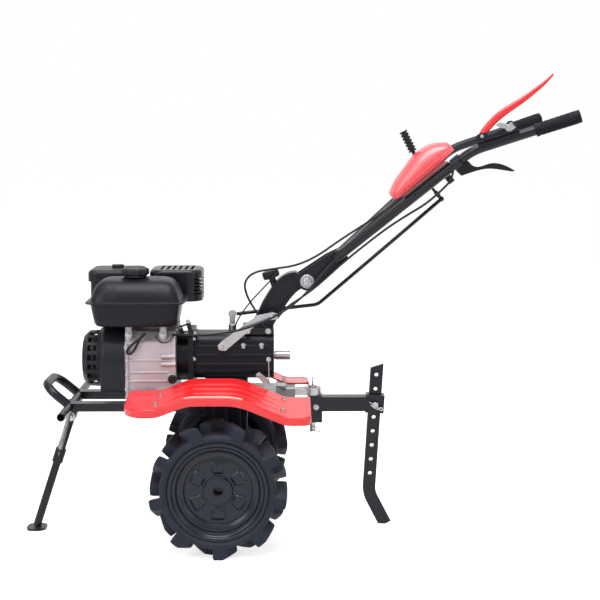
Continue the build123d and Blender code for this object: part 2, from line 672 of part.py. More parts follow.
def stand():
    """Folding front leg with a flat foot."""
    eye_half = STAND_EAR_GAP / 2 - 1.0
    foot_top = STAND_FOOT_PLATE
    ankle = (STAND_FOOT_X, 0, foot_top + 2.0)
    hip = (STAND_PIVOT_X, 0, STAND_PIVOT_Z)
    path = Line(hip, ankle)
    leg = sweep(Plane(origin=path @ 0, z_dir=path % 0) * Circle(STAND_LEG_RADIUS), path=path)
    leg -= block(-900, 900, -100, 100, -100, foot_top / 2)
    sleeve_path = Line(path @ 0.30, path @ 0.42)
    sleeve = Plane(origin=sleeve_path @ 0, z_dir=sleeve_path % 0) * Circle(STAND_LEG_RADIUS + 4)
    leg += sweep(sleeve, path=sleeve_path)
    eye = rod_y(-eye_half, eye_half, STAND_PIVOT_X, STAND_PIVOT_Z, 14)
    foot = Pos(STAND_FOOT_X, 0, 0) * extrude(
        RectangleRounded(STAND_FOOT_LENGTH, STAND_FOOT_WIDTH, 20), amount=STAND_FOOT_PLATE)
    peg_x, peg_z = spring_foot()
    leg += rod_y(0, SPRING_Y + SPRING_RADIUS, peg_x, peg_z, SPRING_PEG_RADIUS)
    leg += eye + foot
    return leg - rod_y(-eye_half, eye_half, STAND_PIVOT_X, STAND_PIVOT_Z, STAND_PIN_RADIUS + RUN_CLEARANCE)


# Fenders

def fender_line(lift):
    """Side outline of the fender: flat front, arch over the tyre, flat tail."""
    crown = FENDER_CROWN_Z + lift
    points = [
        (FENDER_FRONT_X, FENDER_FRONT_Z + lift),
        (FENDER_FRONT_FLAT_X, FENDER_FRONT_Z + 3.0 + lift),
        (FENDER_CROWN_FRONT_X, crown),
        (FENDER_CROWN_REAR_X, crown),
        (FENDER_TAIL_FLAT_X, FENDER_TAIL_Z + lift),
        (FENDER_REAR_X, FENDER_TAIL_Z + lift),
    ]
    return FilletPolyline(*points, radius=[70, 110, 150, 60])


def fender_strip(low, high, y0, y1):
    """A strip of the fender between two lifts of its outline, from y0 to y1 across its width."""
    bottom = fender_line(low)
    top = fender_line(high)
    ends = [Line(bottom @ 0, top @ 0), Line(bottom @ 1, top @ 1)]
    face = make_face(bottom.edges() + top.edges() + ends)
    return side_plate(face, y0, y1)


def fender_place():
    """Where the fender's inner edge lies: it hangs down towards the outside."""
    hinge = Pos(0, FENDER_INNER_Y, FENDER_CROWN_Z)
    return hinge * Rot(-FENDER_TILT, 0, 0) * Pos(0, 0, -FENDER_CROWN_Z)


def fender_plan(inset):
    """Fender seen from above, drawn in X and along its width: square inside, rounded outside."""
    x0, x1 = FENDER_REAR_X + inset, FENDER_FRONT_X - inset
    outer = FENDER_WIDTH - inset
    outline = make_face(Polyline((x0, -inset), (x1, -inset), (x1, outer), (x0, outer), close=True).edges())
    rear_corner = outline.vertices().group_by(Axis.X)[0].sort_by(Axis.Y)[-1]
    outline = fillet(rear_corner, radius=FENDER_REAR_ROUND - inset)
    front_corner = outline.vertices().group_by(Axis.X)[-1].sort_by(Axis.Y)[-1]
    outline = fillet(front_corner, radius=FENDER_FRONT_ROUND - inset)
    return extrude(Pos(0, 0, FENDER_TAIL_Z - 100.0) * outline, amount=300.0)


def fender():
    """Pressed fender: ridged sheet with a rolled lip round its outer edge and ends."""
    sheet = fender_strip(-FENDER_SHEET, 0.0, 0.0, FENDER_WIDTH)
    for share in (0.30, 0.52, 0.74):
        y0 = FENDER_WIDTH * share - FENDER_BEAD / 2
        y1 = y0 + FENDER_BEAD
        ridge = fender_strip(-FENDER_SHEET, FENDER_BEAD_HEIGHT, y0, y1)
        sheet += ridge & block(FENDER_BEAD_REAR_X, FENDER_BEAD_FRONT_X, y0, y1, 0, 900)
    lip = fender_strip(-FENDER_LIP, FENDER_BEAD_HEIGHT, 0.0, FENDER_WIDTH) & fender_plan(0.0)
    lip -= fender_plan(FENDER_LIP_WALL)
    return fender_place() * ((sheet & fender_plan(0.0)) + lip)


def front_stay():
    """Angle bracket from the bearer's side up to the fender."""
    x0, x1 = FRONT_STAY_X - STAY_HALF, FRONT_STAY_X + STAY_HALF
    inner = RAIL_Y + RAIL_WIDTH / 2
    web = block(x0, x1, inner, inner + 5, RAIL_TOP - RAIL_HEIGHT, FENDER_FRONT_Z + 20.0)
    shelf = block(x0, x1, inner, inner + 60, FENDER_FRONT_Z - 60.0, FENDER_FRONT_Z + 20.0)
    under = fender_place() * fender_strip(-60.0, -FENDER_SHEET, -60.0, FENDER_WIDTH)
    layer = fender_place() * fender_strip(-FENDER_SHEET - 5.0, -FENDER_SHEET, -60.0, FENDER_WIDTH)
    return (web & (under + block(x0, x1, inner, inner + 5, 0, FENDER_FRONT_Z - 20.0))) + (shelf & layer)


def rear_stay():
    """Flat bracket from the drawbar out under the fender's tail."""
    reach = FENDER_INNER_Y + 50.0
    slab = block(REAR_STAY_X - STAY_HALF, REAR_STAY_X + STAY_HALF, DRAWBAR_HALF_WIDTH, reach, 300, 500)
    layer = fender_place() * fender_strip(-FENDER_SHEET - 6.0, -FENDER_SHEET, -120.0, FENDER_WIDTH)
    return slab & layer


# Hitch

def drawbar():
    """Bar bolted to the gear leg, ending in the eye of the hitch pin."""
    eye_low = HITCH_EYE_TOP - 20.0
    bar = block(LEG_REAR, -176, -DRAWBAR_HALF_WIDTH, DRAWBAR_HALF_WIDTH, DRAWBAR_BOTTOM, DRAWBAR_TOP)
    neck = DRAWBAR_HALF_WIDTH - 4
    bar += block(-176, HITCH_PIN_X, -neck, neck, eye_low, HITCH_EYE_TOP - 2)
    bar += rod_z(eye_low, HITCH_EYE_TOP, HITCH_PIN_X, 0, HITCH_EYE_RADIUS)
    return bar - rod_z(eye_low, HITCH_EYE_TOP, HITCH_PIN_X, 0, HITCH_PIN_RADIUS + RUN_CLEARANCE)


def hitch_box():
    """Bracket that swings under the eye, with the square tube and the drag bar's socket."""
    top = HITCH_EYE_TOP - 20.0 - HITCH_SWING_GAP
    half = HITCH_TUBE_SIDE / 2
    bracket = block(HITCH_PIN_X - 26, HITCH_PIN_X + 14, -half - 6, half + 6, HITCH_BOX_BOTTOM, top)
    bracket -= block(HITCH_PIN_X - 20, HITCH_PIN_X + 15, -half, half, HITCH_BOX_BOTTOM + 6, top - 6)
    bracket -= rod_z(HITCH_BOX_BOTTOM, top, HITCH_PIN_X, 0, HITCH_PIN_RADIUS + SEAT_CLEARANCE)
    tube_end = DRAG_BAR_X + DRAG_BAR_WIDTH / 2 + DRAG_SOCKET_WALL
    tube = block(tube_end - 6, HITCH_PIN_X - 26, -half, half, HITCH_TUBE_MIDDLE_Z - half,
                 HITCH_TUBE_MIDDLE_Z + half)
    inner = half - HITCH_TUBE_WALL
    tube -= block(tube_end - 7, HITCH_PIN_X - 26, -inner, inner, HITCH_TUBE_MIDDLE_Z - inner,
                  HITCH_TUBE_MIDDLE_Z + inner)
    wide = DRAG_BAR_WIDTH / 2 + DRAG_SOCKET_WALL
    deep = DRAG_BAR_THICKNESS / 2 + DRAG_SOCKET_WALL
    socket = Box(2 * wide, 2 * max(deep, half), HITCH_TUBE_SIDE + 10)
    outline = drag_place() * socket
    tube -= outline
    slack = 2 * SEAT_CLEARANCE
    socket -= Box(DRAG_BAR_WIDTH + slack, DRAG_BAR_THICKNESS + slack, HITCH_TUBE_SIDE + 12)
    socket -= Rot(90, 0, 0) * Cylinder(DRAG_PIN_RADIUS + SEAT_CLEARANCE, 4 * half)
    return bracket + tube + drag_place() * socket


def drag_place():
    """Middle of the drag bar's pinned hole, leaning as the bar does."""
    return Pos(DRAG_BAR_X, 0, HITCH_TUBE_MIDDLE_Z) * Rot(0, -DRAG_BAR_LEAN, 0)


def hitch_pin():
    """Ring pin through the eye and the bracket, held by its head above and a clip below."""
    shank = rod_z(HITCH_BOX_BOTTOM - 30, HITCH_EYE_TOP + 1, HITCH_PIN_X, 0, HITCH_PIN_RADIUS)
    head = rod_z(HITCH_EYE_TOP + 0.5, HITCH_EYE_TOP + 5, HITCH_PIN_X, 0, HITCH_PIN_RADIUS + 3)
    ring = Pos(HITCH_PIN_X, 0, HITCH_EYE_TOP + 16) * Rot(90, 90, 0) * Torus(11, 2.2)
    return shank + head + ring


def drag_bar():
    """Flat bar with a row of depth holes, bent back at its foot."""
    top = DRAG_BAR_TOP - HITCH_TUBE_MIDDLE_Z
    bottom = DRAG_BAR_BOTTOM - HITCH_TUBE_MIDDLE_Z
    path = FilletPolyline((0, 0, top), (0, 0, bottom + DRAG_TIP_RISE), (-DRAG_TIP_REACH, 0, bottom),
                          radius=DRAG_BEND_RADIUS)
    start = Plane(origin=path @ 0, x_dir=(0, 1, 0), z_dir=path % 0)
    section = start * Rectangle(DRAG_BAR_THICKNESS, DRAG_BAR_WIDTH)
    bar = sweep(section, path=path)
    half = DRAG_BAR_WIDTH / 2
    bar -= side_plate(side_polygon([(half + 1, top - 13), (half + 1, top + 1), (-half - 1, top + 1)]),
                      -DRAG_BAR_THICKNESS, DRAG_BAR_THICKNESS)
    bar -= block(-200, 200, -DRAG_BAR_THICKNESS, DRAG_BAR_THICKNESS, bottom - 60, bottom)
    for number in range(-DRAG_HOLES_BELOW, DRAG_HOLES_ABOVE + 1):
        bar -= Pos(0, 0, number * DRAG_HOLE_PITCH) * Rot(90, 0, 0) * Cylinder(
            DRAG_HOLE_RADIUS, 2 * DRAG_BAR_THICKNESS)
    return drag_place() * bar


def drag_pin():
    """Pin that sets the drag bar's depth."""
    half = HITCH_TUBE_SIDE / 2
    return drag_place() * (Rot(90, 0, 0) * Cylinder(DRAG_PIN_RADIUS, 2 * half + 24)
                           + Pos(0, half + 10, 0) * Rot(90, 0, 0) * Cylinder(DRAG_PIN_RADIUS + 3, 4))


# Handlebar

def beside(curve, inset):
    """A curve that keeps a distance to the left of another one and stops short of its ends."""
    points = []
    for share in (0.05, 0.2, 0.35, 0.5, 0.65, 0.8, 0.95):
        along = curve % share
        points.append(curve @ share + Vector(-along.Y, along.X) * inset)
    return Spline(*points)


def column_outline(inset):
    """Side view of the swan neck, as shares of the way from its foot to the tilt pivot."""
    foot_z = CASE_TOP + COLUMN_SEAT_HEIGHT
    run, rise = TILT_X - COLUMN_FOOT_X, TILT_Z - foot_z

    def at(share_x, share_z):
        return COLUMN_FOOT_X + share_x * run, foot_z + share_z * rise

    front = Spline(at(-0.25, 0.0), at(-0.02, 0.27), at(0.07, 0.49), at(0.20, 0.73), at(0.34, 0.95),
                   at(0.50, 1.11), at(0.78, 1.20))
    back = Spline(at(1.10, 0.90), at(0.83, 0.80), at(0.56, 0.46), at(0.38, 0.15), at(0.30, 0.0))
    if inset:
        front, back = beside(front, inset), beside(back, inset)
    return make_face([front, Line(front @ 1, back @ 0), back, Line(back @ 1, front @ 0)])


def column():
    """Swan-neck column of channel section, from its bolted seat up to the tilt pivot."""
    half = COLUMN_HALF_WIDTH
    neck = side_plate(column_outline(0.0), -half, half)
    pocket = column_outline(COLUMN_FLANGE)
    neck -= side_plate(pocket, half - COLUMN_POCKET, half + 1)
    neck -= side_plate(pocket, -half - 1, -half + COLUMN_POCKET)
    neck += rod_y(-half, half, TILT_X, TILT_Z, 22)
    seat_top = CASE_TOP + COLUMN_SEAT_HEIGHT
    seat_half = CASE_HALF_WIDTH - 8
    seat = block(COLUMN_FOOT_X - 42, COLUMN_FOOT_X + 43, -seat_half, seat_half, CASE_TOP, seat_top)
    bolt_hole = rod_y(-half - 1, half + 1, TILT_X, TILT_Z, TILT_BOLT_RADIUS + RUN_CLEARANCE)
    return neck + seat + knob_place() * Cylinder(9, 40) - bolt_hole


def knob_place():
    """Foot of the clamp knob, on the outside of the column's bend."""
    foot_z = CASE_TOP + COLUMN_SEAT_HEIGHT
    x = COLUMN_FOOT_X + 0.33 * (TILT_X - COLUMN_FOOT_X)
    return Pos(x, 0, foot_z + 0.90 * (TILT_Z - foot_z)) * Rot(0, 18, 0)


def clamp_knob():
    """Knurled hand knob that locks the handlebar's height."""
    return knob_place() * Pos(0, 0, 20 + 11) * Cylinder(23, 22)


def tilt_bracket():
    """Tapered bracket of two cheeks that pivots on the column and carries both handle tubes."""
    inner = COLUMN_HALF_WIDTH + BRACKET_GAP
    outer = inner + BRACKET_PLATE
    foot_x, _, foot_z = HANDLE_FOOT
    tube_end = [(foot_x - 10, foot_z + 26), (foot_x - 34, foot_z + 4)]
    outline = side_polygon([
        (TILT_X + 34, TILT_Z + 14), (foot_x + 27, foot_z + 8), *tube_end, (TILT_X - 18, TILT_Z - 18),
        (TILT_X + 10, TILT_Z - 23),
    ])
    cheek = side_plate(outline, inner, outer) + rod_y(inner, outer, TILT_X, TILT_Z, BRACKET_EYE_RADIUS)
    cheeks = cheek + mirrored(cheek)
    tie = side_polygon([(TILT_X - 34, TILT_Z + 16), (TILT_X - 28, TILT_Z + 38), *tube_end])
    cheeks += side_plate(tie, -inner, inner)
    bolt = rod_y(-outer - 10, outer + 10, TILT_X, TILT_Z, TILT_BOLT_RADIUS)
    bore = HANDLE_TUBE_RADIUS + TUBE_GAP
    tube_space = pipe([HANDLE_FOOT, HANDLE_BEND, HANDLE_END], HANDLE_BEND_RADIUS, bore)
    return cheeks + bolt - tube_space - mirrored(tube_space)


def handle_tube():
    points = [HANDLE_FOOT, HANDLE_BEND, HANDLE_END]
    tube = pipe(points, HANDLE_BEND_RADIUS, HANDLE_TUBE_RADIUS, HANDLE_TUBE_WALL)
    return tube


def grip():
    """Rubber grip over the end of the handle tube."""
    direction = GRIP_RUN.normalized()
    start = Vector(*HANDLE_END) - direction * (GRIP_LENGTH - GRIP_END_WALL)
    plane = Plane(origin=start, z_dir=direction)
    sleeve = extrude(plane * Circle(GRIP_RADIUS), amount=GRIP_LENGTH)
    bore_depth = GRIP_LENGTH - GRIP_END_WALL + TUBE_GAP
    bore = extrude(plane * Circle(HANDLE_TUBE_RADIUS + TUBE_GAP), amount=bore_depth)
    return sleeve - bore


def lower_run():
    """Plane along the lower run of the handle: x up the slope, y to the right, z square to it."""
    foot = Vector(HANDLE_FOOT[0], 0, HANDLE_FOOT[2])
    bend = Vector(HANDLE_BEND[0], 0, HANDLE_BEND[2])
    along = bend - foot
    return Plane(origin=foot, x_dir=along.normalized(), z_dir=along.cross(Vector(0, 1, 0)) * -1)


def lower_run_length():
    return math.hypot(HANDLE_BEND[0] - HANDLE_FOOT[0], HANDLE_BEND[2] - HANDLE_FOOT[2])


def tube_spread(along):
    """Half the distance between the handle tubes at a place along the lower run."""
    return HANDLE_FOOT[1] + (HANDLE_BEND[1] - HANDLE_FOOT[1]) * along / lower_run_length()


def console_plate():
    """Cross plate welded on top of both handle tubes; it carries the gear console."""
    low, high = CONSOLE_START + 20.0, CONSOLE_START + CONSOLE_LENGTH - 45.0
    outline = make_face(Polyline(
        (low, -tube_spread(low) - 8), (high, -tube_spread(high) - 8),
        (high, tube_spread(high) + 8), (low, tube_spread(low) + 8), close=True).edges())
    top = HANDLE_TUBE_RADIUS + TUBE_GAP
    plate = lower_run() * (Pos(0, 0, top) * extrude(outline, amount=CONSOLE_PLATE))
    return plate + shift_link()


def shift_link():
    """Arm under the console that moves the shift rod."""
    top = HANDLE_TUBE_RADIUS + TUBE_GAP + CONSOLE_PLATE / 2
    middle = (top - SHIFT_ROD_DROP) / 2
    return lower_run() * (Pos(CONSOLE_START + CONSOLE_LENGTH - 55.0, -SHIFT_ROD_Y, middle) * Box(
        18, 5, top + SHIFT_ROD_DROP))


def console():
    """Moulded cover of the gear lever, a low hump on the cross plate with rounded shoulders."""
    base = HANDLE_TUBE_RADIUS + TUBE_GAP + CONSOLE_PLATE
    start = CONSOLE_START
    length = CONSOLE_LENGTH
    top = Spline(
        (start, base + 18), (start + 0.16 * length, base + 0.62 * CONSOLE_HEIGHT),
        (start + 0.37 * length, base + 0.82 * CONSOLE_HEIGHT), (start + 0.56 * length, base + CONSOLE_HEIGHT),
        (start + 0.84 * length, base + 0.86 * CONSOLE_HEIGHT), (start + length, base + 0.34 * CONSOLE_HEIGHT))
    outline = make_face([top, Polyline(top @ 1, (start + length - 2, base), (start, base), top @ 0)])
    cover = extrude(Plane.XZ.offset(-CONSOLE_HALF_WIDTH) * outline, amount=2 * CONSOLE_HALF_WIDTH)
    shoulders = cover.edges().filter_by(GeomType.BSPLINE)
    return lower_run() * fillet(shoulders, radius=14)


def gear_lever():
    """Gear lever that stands out of the console, with its ribbed knob."""
    base = HANDLE_TUBE_RADIUS + TUBE_GAP + CONSOLE_PLATE + CONSOLE_HEIGHT
    place = Pos(CONSOLE_START + 0.585 * CONSOLE_LENGTH, 0, base) * Rot(0, 13.7, 0)
    stem = Cylinder(5, 36)
    knob = Pos(0, 0, 8 + 30) * Cylinder(11, 60)
    ribs = 6
    for number in range(ribs):
        knob -= Pos(0, 0, 14 + number * 9.6) * (Cylinder(12, 3.5) - Cylinder(8, 3.5))
    return lower_run() * place * (stem + knob) - console()


def shift_rod():
    """Bent rod from the shift arm's eye to the arm under the console."""
    end = CONSOLE_START + CONSOLE_LENGTH - 55.0
    top = lower_run().from_local_coords(Vector(end, 0, -SHIFT_ROD_DROP))
    points = [
        (SHIFT_EYE_X - 12.0, SHIFT_ROD_Y, SHIFT_EYE_Z),
        (SHIFT_ELBOW_X, SHIFT_ROD_Y, SHIFT_ELBOW_Z),
        (top.X, SHIFT_ROD_Y, top.Z),
    ]
    return pipe(points, 40, ROD_RADIUS) - shift_link()


def upper_run():
    """Plane along the grip end of the left tube: x towards the grip, z up and square to it."""
    bend = Vector(*HANDLE_BEND)
    along = (Vector(*HANDLE_END) - bend).normalized()
    across = Vector(0, 0, 1).cross(along).normalized()
    return Plane(origin=bend, x_dir=along, z_dir=along.cross(across))


def clutch_bracket():
    """Clamp on the left tube with the ears of the clutch lever and of its latch."""
    collar_start, collar_end = 40.0, 122.0
    length = collar_end - collar_start
    ring = Cylinder(HANDLE_TUBE_RADIUS + 5, length) - Cylinder(HANDLE_TUBE_RADIUS + TUBE_GAP, length)
    collar = Pos((collar_start + collar_end) / 2, 0, 0) * Rot(0, 90, 0) * ring
    outline = make_face(Polyline(
        (20, 13), (20, 32), (44, 34), (58, 22), (96, 26), (108, 42), (122, 40), (124, 13),
        close=True).edges())
    ears = extrude(Plane.XZ.offset(-13) * outline, amount=4) + extrude(Plane.XZ.offset(9) * outline, amount=4)
    ears -= Rot(0, 90, 0) * Cylinder(HANDLE_TUBE_RADIUS + TUBE_GAP, 400)
    ears -= Pos(35, 0, 27) * Rot(90, 0, 0) * Cylinder(3 + TUBE_GAP, 30)
    return upper_run() * (collar + ears)


def clutch_lever():
    """Squeeze lever of the clutch, curving up and away over the left grip."""
    upper = Spline((26, 32), (40, 44), (74, 60), (105, 75), (150, 84), (182, 94), (212, 106), (233, 116),
                   (246, 124))
    lower = Spline((249, 118), (238, 105), (204, 93), (148, 71), (120, 63), (90, 53), (66, 45), (46, 28),
                   (40, 20.5))
    root = Polyline(lower @ 1, (27, 20.5), upper @ 0)
    outline = make_face([upper, Line(upper @ 1, lower @ 0), lower, root])
    lever = extrude(Plane.XZ.offset(-8.5) * outline, amount=17)
    pin = Pos(35, 0, 27) * Rot(90, 0, 0) * Cylinder(3, 30)
    return upper_run() * (lever + pin)


def reverse_lever():
    """Small lever under the left tube, with its own clamp."""
    along = (Vector(*HANDLE_BEND) - Vector(*HANDLE_FOOT)).normalized()
    seat = Vector(*HANDLE_BEND) - along * 50.0
    upper = Spline((30, 2), (40, -8), (50, -11), (82, -3), (108, -3), (134, -13), (148, -21))
    lower = Spline((141, -23), (108, -18), (76, -16), (50, -21), (11, -34))
    root = Polyline(lower @ 1, (-2, -22), (22, 6), upper @ 0)
    outline = make_face([upper, Line(upper @ 1, lower @ 0), lower, root])
    place = Plane(origin=seat, x_dir=(-1, 0, 0), z_dir=(0, 0, 1))
    lever = place * extrude(Plane.XZ.offset(-6) * outline, amount=12)
    run = Plane(origin=seat - along * 12.0, z_dir=along)
    collar = extrude(run * Circle(HANDLE_TUBE_RADIUS + 5), amount=24)
    below = Plane(origin=seat - along * 60.0, z_dir=along)
    tube_space = extrude(below * Circle(HANDLE_TUBE_RADIUS + TUBE_GAP), amount=120)
    return lever + collar - tube_space


def cable(points, share=0.45):
    """A sheathed control cable: straight runs joined by arcs as large as the runs allow."""
    radii = []
    for before, corner, after in zip(points, points[1:], points[2:]):
        into = Vector(*corner) - Vector(*before)
        out = Vector(*after) - Vector(*corner)
        turn = math.radians(into.get_angle(out))
        radii.append(share * min(into.length, out.length) / math.tan(turn / 2))
    return pipe(points, radii, CABLE_RADIUS)


def beside_tube(share):
    """A point for a cable that lies against the outside of the left tube's lower run."""
    foot = Vector(*HANDLE_FOOT)
    run = Vector(*HANDLE_BEND) - foot
    outward = Vector(run.Y, -run.X, 0).normalized() * (HANDLE_TUBE_RADIUS + CABLE_RADIUS + 2 * TUBE_GAP)
    return tuple(foot + run * share + outward)


def clutch_cable():
    """Cable that hangs under the left tube and runs down beside the column."""
    return cable([
        (-605, 187.4, 992.6), (-605, 187.4, 966), (-582, 172, 934), (-545, 150, 905), (-490, 118, 882),
        (-430, 88, 836), (-370, 58, 787), (-320, 48, 744), (-262, 44, 690), (-215, 42, 655), (-175, 42, 630),
        (-152, 42, 600),
    ])


def throttle_cable():
    """Cable from the engine's governor along the gear case and up the left tube."""
    start = (ENGINE_REAR + 9, CRANKCASE_HALF_WIDTH - 14, CRANKCASE_TOP - 11)
    return cable([
        start, (86, 80, 560), (40, 82, 561), (-24, 82, 568), (-90, 82, 585), (-150, 82, 612), (-200, 77, 645),
        (-240, 68, 682), (-278, 58, 732), beside_tube(0.12), beside_tube(0.61),
    ]) - crankcase()


def reverse_cable():
    """Cable over the top of the column that loops down to the gear case."""
    return cable([
        (-440, 70, 893), (-380, 50, 852), (-320, 36, 812), (-262, 34, 770), (-205, 34, 744), (-140, 34, 735),
        (-88, 37, 727), (-62, 41, 700), (-70, 45, 662), (-92, 47, 625), (-108, 47, 600),
        (-114, 47, CASE_TOP + 19),
    ])


def stand_spring():
    """Tension spring beside the stand's leg, as the closed tube that its coils fill."""
    top = Vector(SPRING_HANGER[0], SPRING_Y, SPRING_HANGER[1])
    low = Vector(spring_foot()[0], SPRING_Y, spring_foot()[1])
    along = (low - top).normalized() * (SPRING_PEG_RADIUS + 2 * TUBE_GAP)
    path = Line(top + along, low - along)
    return sweep(Plane(origin=path @ 0, z_dir=path % 0) * Circle(SPRING_RADIUS), path=path)


def column_brace():
    """Flat bar from the side of the gear case up to the column."""
    face_y = CASE_HALF_WIDTH + 4.0
    foot_x, foot_z = -2.0, CASE_TOP - 32.0
    outline = side_polygon([
        (foot_x + 11, foot_z + 4), (foot_x + 1, foot_z + 15), (foot_x - 96, foot_z + 86),
        (foot_x - 138, foot_z + 95), (foot_x - 150, foot_z + 92), (foot_x - 153, foot_z + 77),
        (foot_x - 105, foot_z + 70),
        (foot_x - 10, foot_z - 10), (foot_x + 5, foot_z - 9),
    ])
    bar = side_plate(outline, face_y, face_y + 6)
    return bar + rod_y(COLUMN_HALF_WIDTH - COLUMN_POCKET, face_y + 3, foot_x - 136, foot_z + 84, 7)


def build_parts():
    parts = {}
    parts["tyre_left"] = tyre(WHEEL_Y)
    parts["wheel_left"] = rim(WHEEL_Y)
    parts["tyre_right"] = mirrored(parts["tyre_left"])
    parts["wheel_right"] = mirrored(parts["wheel_left"])
    parts["axle"] = axle()
    parts["gear_leg"] = gear_leg()
    parts["gear_case"] = gear_case()
    parts["pto_shaft"] = pto_shaft()
    parts["shift_arm"] = shift_arm()
    parts["crankcase"] = crankcase()
    parts["cylinder"] = cylinder()
    parts["fan_cover"] = fan_cover()
    parts["recoil_starter"] = recoil_starter()
    parts["fuel_tank"] = fuel_tank()
    parts["fuel_cap"] = fuel_cap()
    parts["air_cleaner"] = air_cleaner()
    parts["muffler"] = muffler()
    parts["rail_left"] = rail(1)
    parts["rail_right"] = rail(-1)
    parts["bearer_plate"] = bearer_plate()
    parts["cross_tube"] = cross_tube()
    parts["front_loop"] = front_loop()
    parts["stand_bracket"] = stand_bracket()
    parts["stand"] = stand()
    parts["fender_left"] = fender()
    parts["fender_right"] = mirrored(fender())
    parts["fender_stays"] = front_stay() + rear_stay() + mirrored(front_stay()) + mirrored(rear_stay())
    parts["drawbar"] = drawbar()
    parts["hitch_box"] = hitch_box()
    parts["hitch_pin"] = hitch_pin()
    parts["drag_bar"] = drag_bar()
    parts["drag_pin"] = drag_pin()
    parts["column"] = column()
    parts["clamp_knob"] = clamp_knob()
    parts["tilt_bracket"] = tilt_bracket()
    parts["handle_tube_left"] = handle_tube()
    parts["handle_tube_right"] = mirrored(handle_tube())
    parts["console_plate"] = console_plate()
    parts["console"] = console()
    parts["gear_lever"] = gear_lever()
    parts["shift_rod"] = shift_rod()
    parts["clutch_bracket"] = clutch_bracket()
    parts["clutch_lever"] = clutch_lever()
    parts["reverse_lever"] = reverse_lever()
    parts["clutch_cable"] = clutch_cable()
    parts["throttle_cable"] = throttle_cable()
    parts["reverse_cable"] = reverse_cable()
    parts["stand_spring"] = stand_spring()
    parts["column_brace"] = column_brace()
    parts["grip_left"] = grip()
    parts["grip_right"] = mirrored(grip())
    return parts


os.makedirs("parts", exist_ok=True)
for node, part in build_parts().items():
    export_step(Pos(-X_MIDDLE, 0, 0) * part, f"parts/{node}.step")
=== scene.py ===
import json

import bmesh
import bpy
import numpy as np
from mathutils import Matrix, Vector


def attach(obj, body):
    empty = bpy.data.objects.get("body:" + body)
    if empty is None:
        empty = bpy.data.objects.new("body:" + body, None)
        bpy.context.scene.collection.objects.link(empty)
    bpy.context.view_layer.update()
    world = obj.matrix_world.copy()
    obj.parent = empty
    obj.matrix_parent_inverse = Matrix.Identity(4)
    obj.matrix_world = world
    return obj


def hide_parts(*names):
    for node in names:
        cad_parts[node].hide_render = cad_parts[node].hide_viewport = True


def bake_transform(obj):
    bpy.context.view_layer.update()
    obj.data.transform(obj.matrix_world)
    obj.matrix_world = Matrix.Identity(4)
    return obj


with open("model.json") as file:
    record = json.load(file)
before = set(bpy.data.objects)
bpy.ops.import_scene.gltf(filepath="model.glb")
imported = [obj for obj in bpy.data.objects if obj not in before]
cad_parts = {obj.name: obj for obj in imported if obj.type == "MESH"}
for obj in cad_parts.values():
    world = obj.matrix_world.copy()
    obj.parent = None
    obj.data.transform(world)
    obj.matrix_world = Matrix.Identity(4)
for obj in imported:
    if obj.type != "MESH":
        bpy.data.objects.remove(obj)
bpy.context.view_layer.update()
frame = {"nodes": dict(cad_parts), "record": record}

# %% [markdown]
# # A hand tractor, dressed on its frame
# The frame holds the measured solids of the machine, in metres. This lesson gives them their finishes and adds
# what makes the machine real: bolts, a spring, cables, ribs, treads and soft pressings. Lengths below are in
# millimetres from the wheel axle, because that is how a mechanic would measure them, and one helper turns them
# into the frame's metres.

JOINTS = {joint["name"]: joint for joint in frame["record"]["behaviour"]["joints"]}
AXLE_X = JOINTS["axle_turn"]["pos_m"][0] * 1000.0
scene = bpy.context.scene


def metres(points):
    """Millimetres from the axle, (x, y, z), become metres in the frame: x shifts by the axle's place."""
    return (np.asarray(points, float) + np.array([AXLE_X, 0.0, 0.0])) / 1000.0


# %% [markdown]
# ## Camera
# The photograph was taken from the machine's left, a little above it, from about three and a half metres away.
# The camera stands at the place that makes the axle, the handle ends, the tank and the stand's foot fall where
# the photograph has them.

# %% camera
EYE = metres([-184.8, 3450.1, 1099.6])
AIM = metres([-214.9, 0.0, 645.4])
HALF_PICTURE, FOCAL_LENGTH = 300.0, 1265.45
VIEW_ANGLE = 2 * np.arctan(HALF_PICTURE / FOCAL_LENGTH)


def look(holder, place, aim):
    """A camera or lamp is put at a place, turned towards a point and linked to the scene."""
    holder.location = place
    holder.rotation_euler = Vector(np.subtract(aim, place)).to_track_quat("-Z", "Y").to_euler()
    scene.collection.objects.link(holder)


camera = bpy.data.objects.new("camera", bpy.data.cameras.new("camera"))
camera.data.sensor_fit = "HORIZONTAL"
camera.data.angle = VIEW_ANGLE
camera.data.clip_end = 100.0
look(camera, EYE, AIM)
scene.camera = camera
scene.view_settings.view_transform = "Standard"
print("camera angle", round(float(np.degrees(VIEW_ANGLE)), 2))

# %% [markdown]
# ## Floor, world and lamps
# A product photograph is lit by wide soft boxes. Four area lamps stand for them: one above, one on the left of the
# picture, a weaker one on its right and a weak one behind the machine. The floor and the sky look white to the
# camera and to mirrors, and the floor still catches the shadow under the tyres. Three helpers keep the shader
# nodes short: one adds a node, one wires nodes together, and one fills a socket.


# %% shader nodes
def add_node(tree, kind, numbers=None, operation=None, clamp=False, shared=None):
    """A shader node of a kind, or one that uses a shared group, with numbers on its input sockets."""
    node = tree.nodes.new("ShaderNode" + kind)
    if operation:
        node.operation = operation
    if clamp:
        node.use_clamp = True
    if shared:
        node.node_tree = shared
    for label, value in (numbers or {}).items():
        node.inputs[label].default_value = value
    return node


def wire(tree, *runs):
    """Links between nodes, each given as (node, output, node, input)."""
    for source, output, target, entry in runs:
        tree.links.new(source.outputs[output], target.inputs[entry])


def fill(tree, socket, value):
    """A socket takes another node's output, a number or a colour (r, g, b)."""
    if isinstance(value, bpy.types.NodeSocket):
        tree.links.new(value, socket)
    else:
        socket.default_value = value if isinstance(value, float) else (*value, 1)


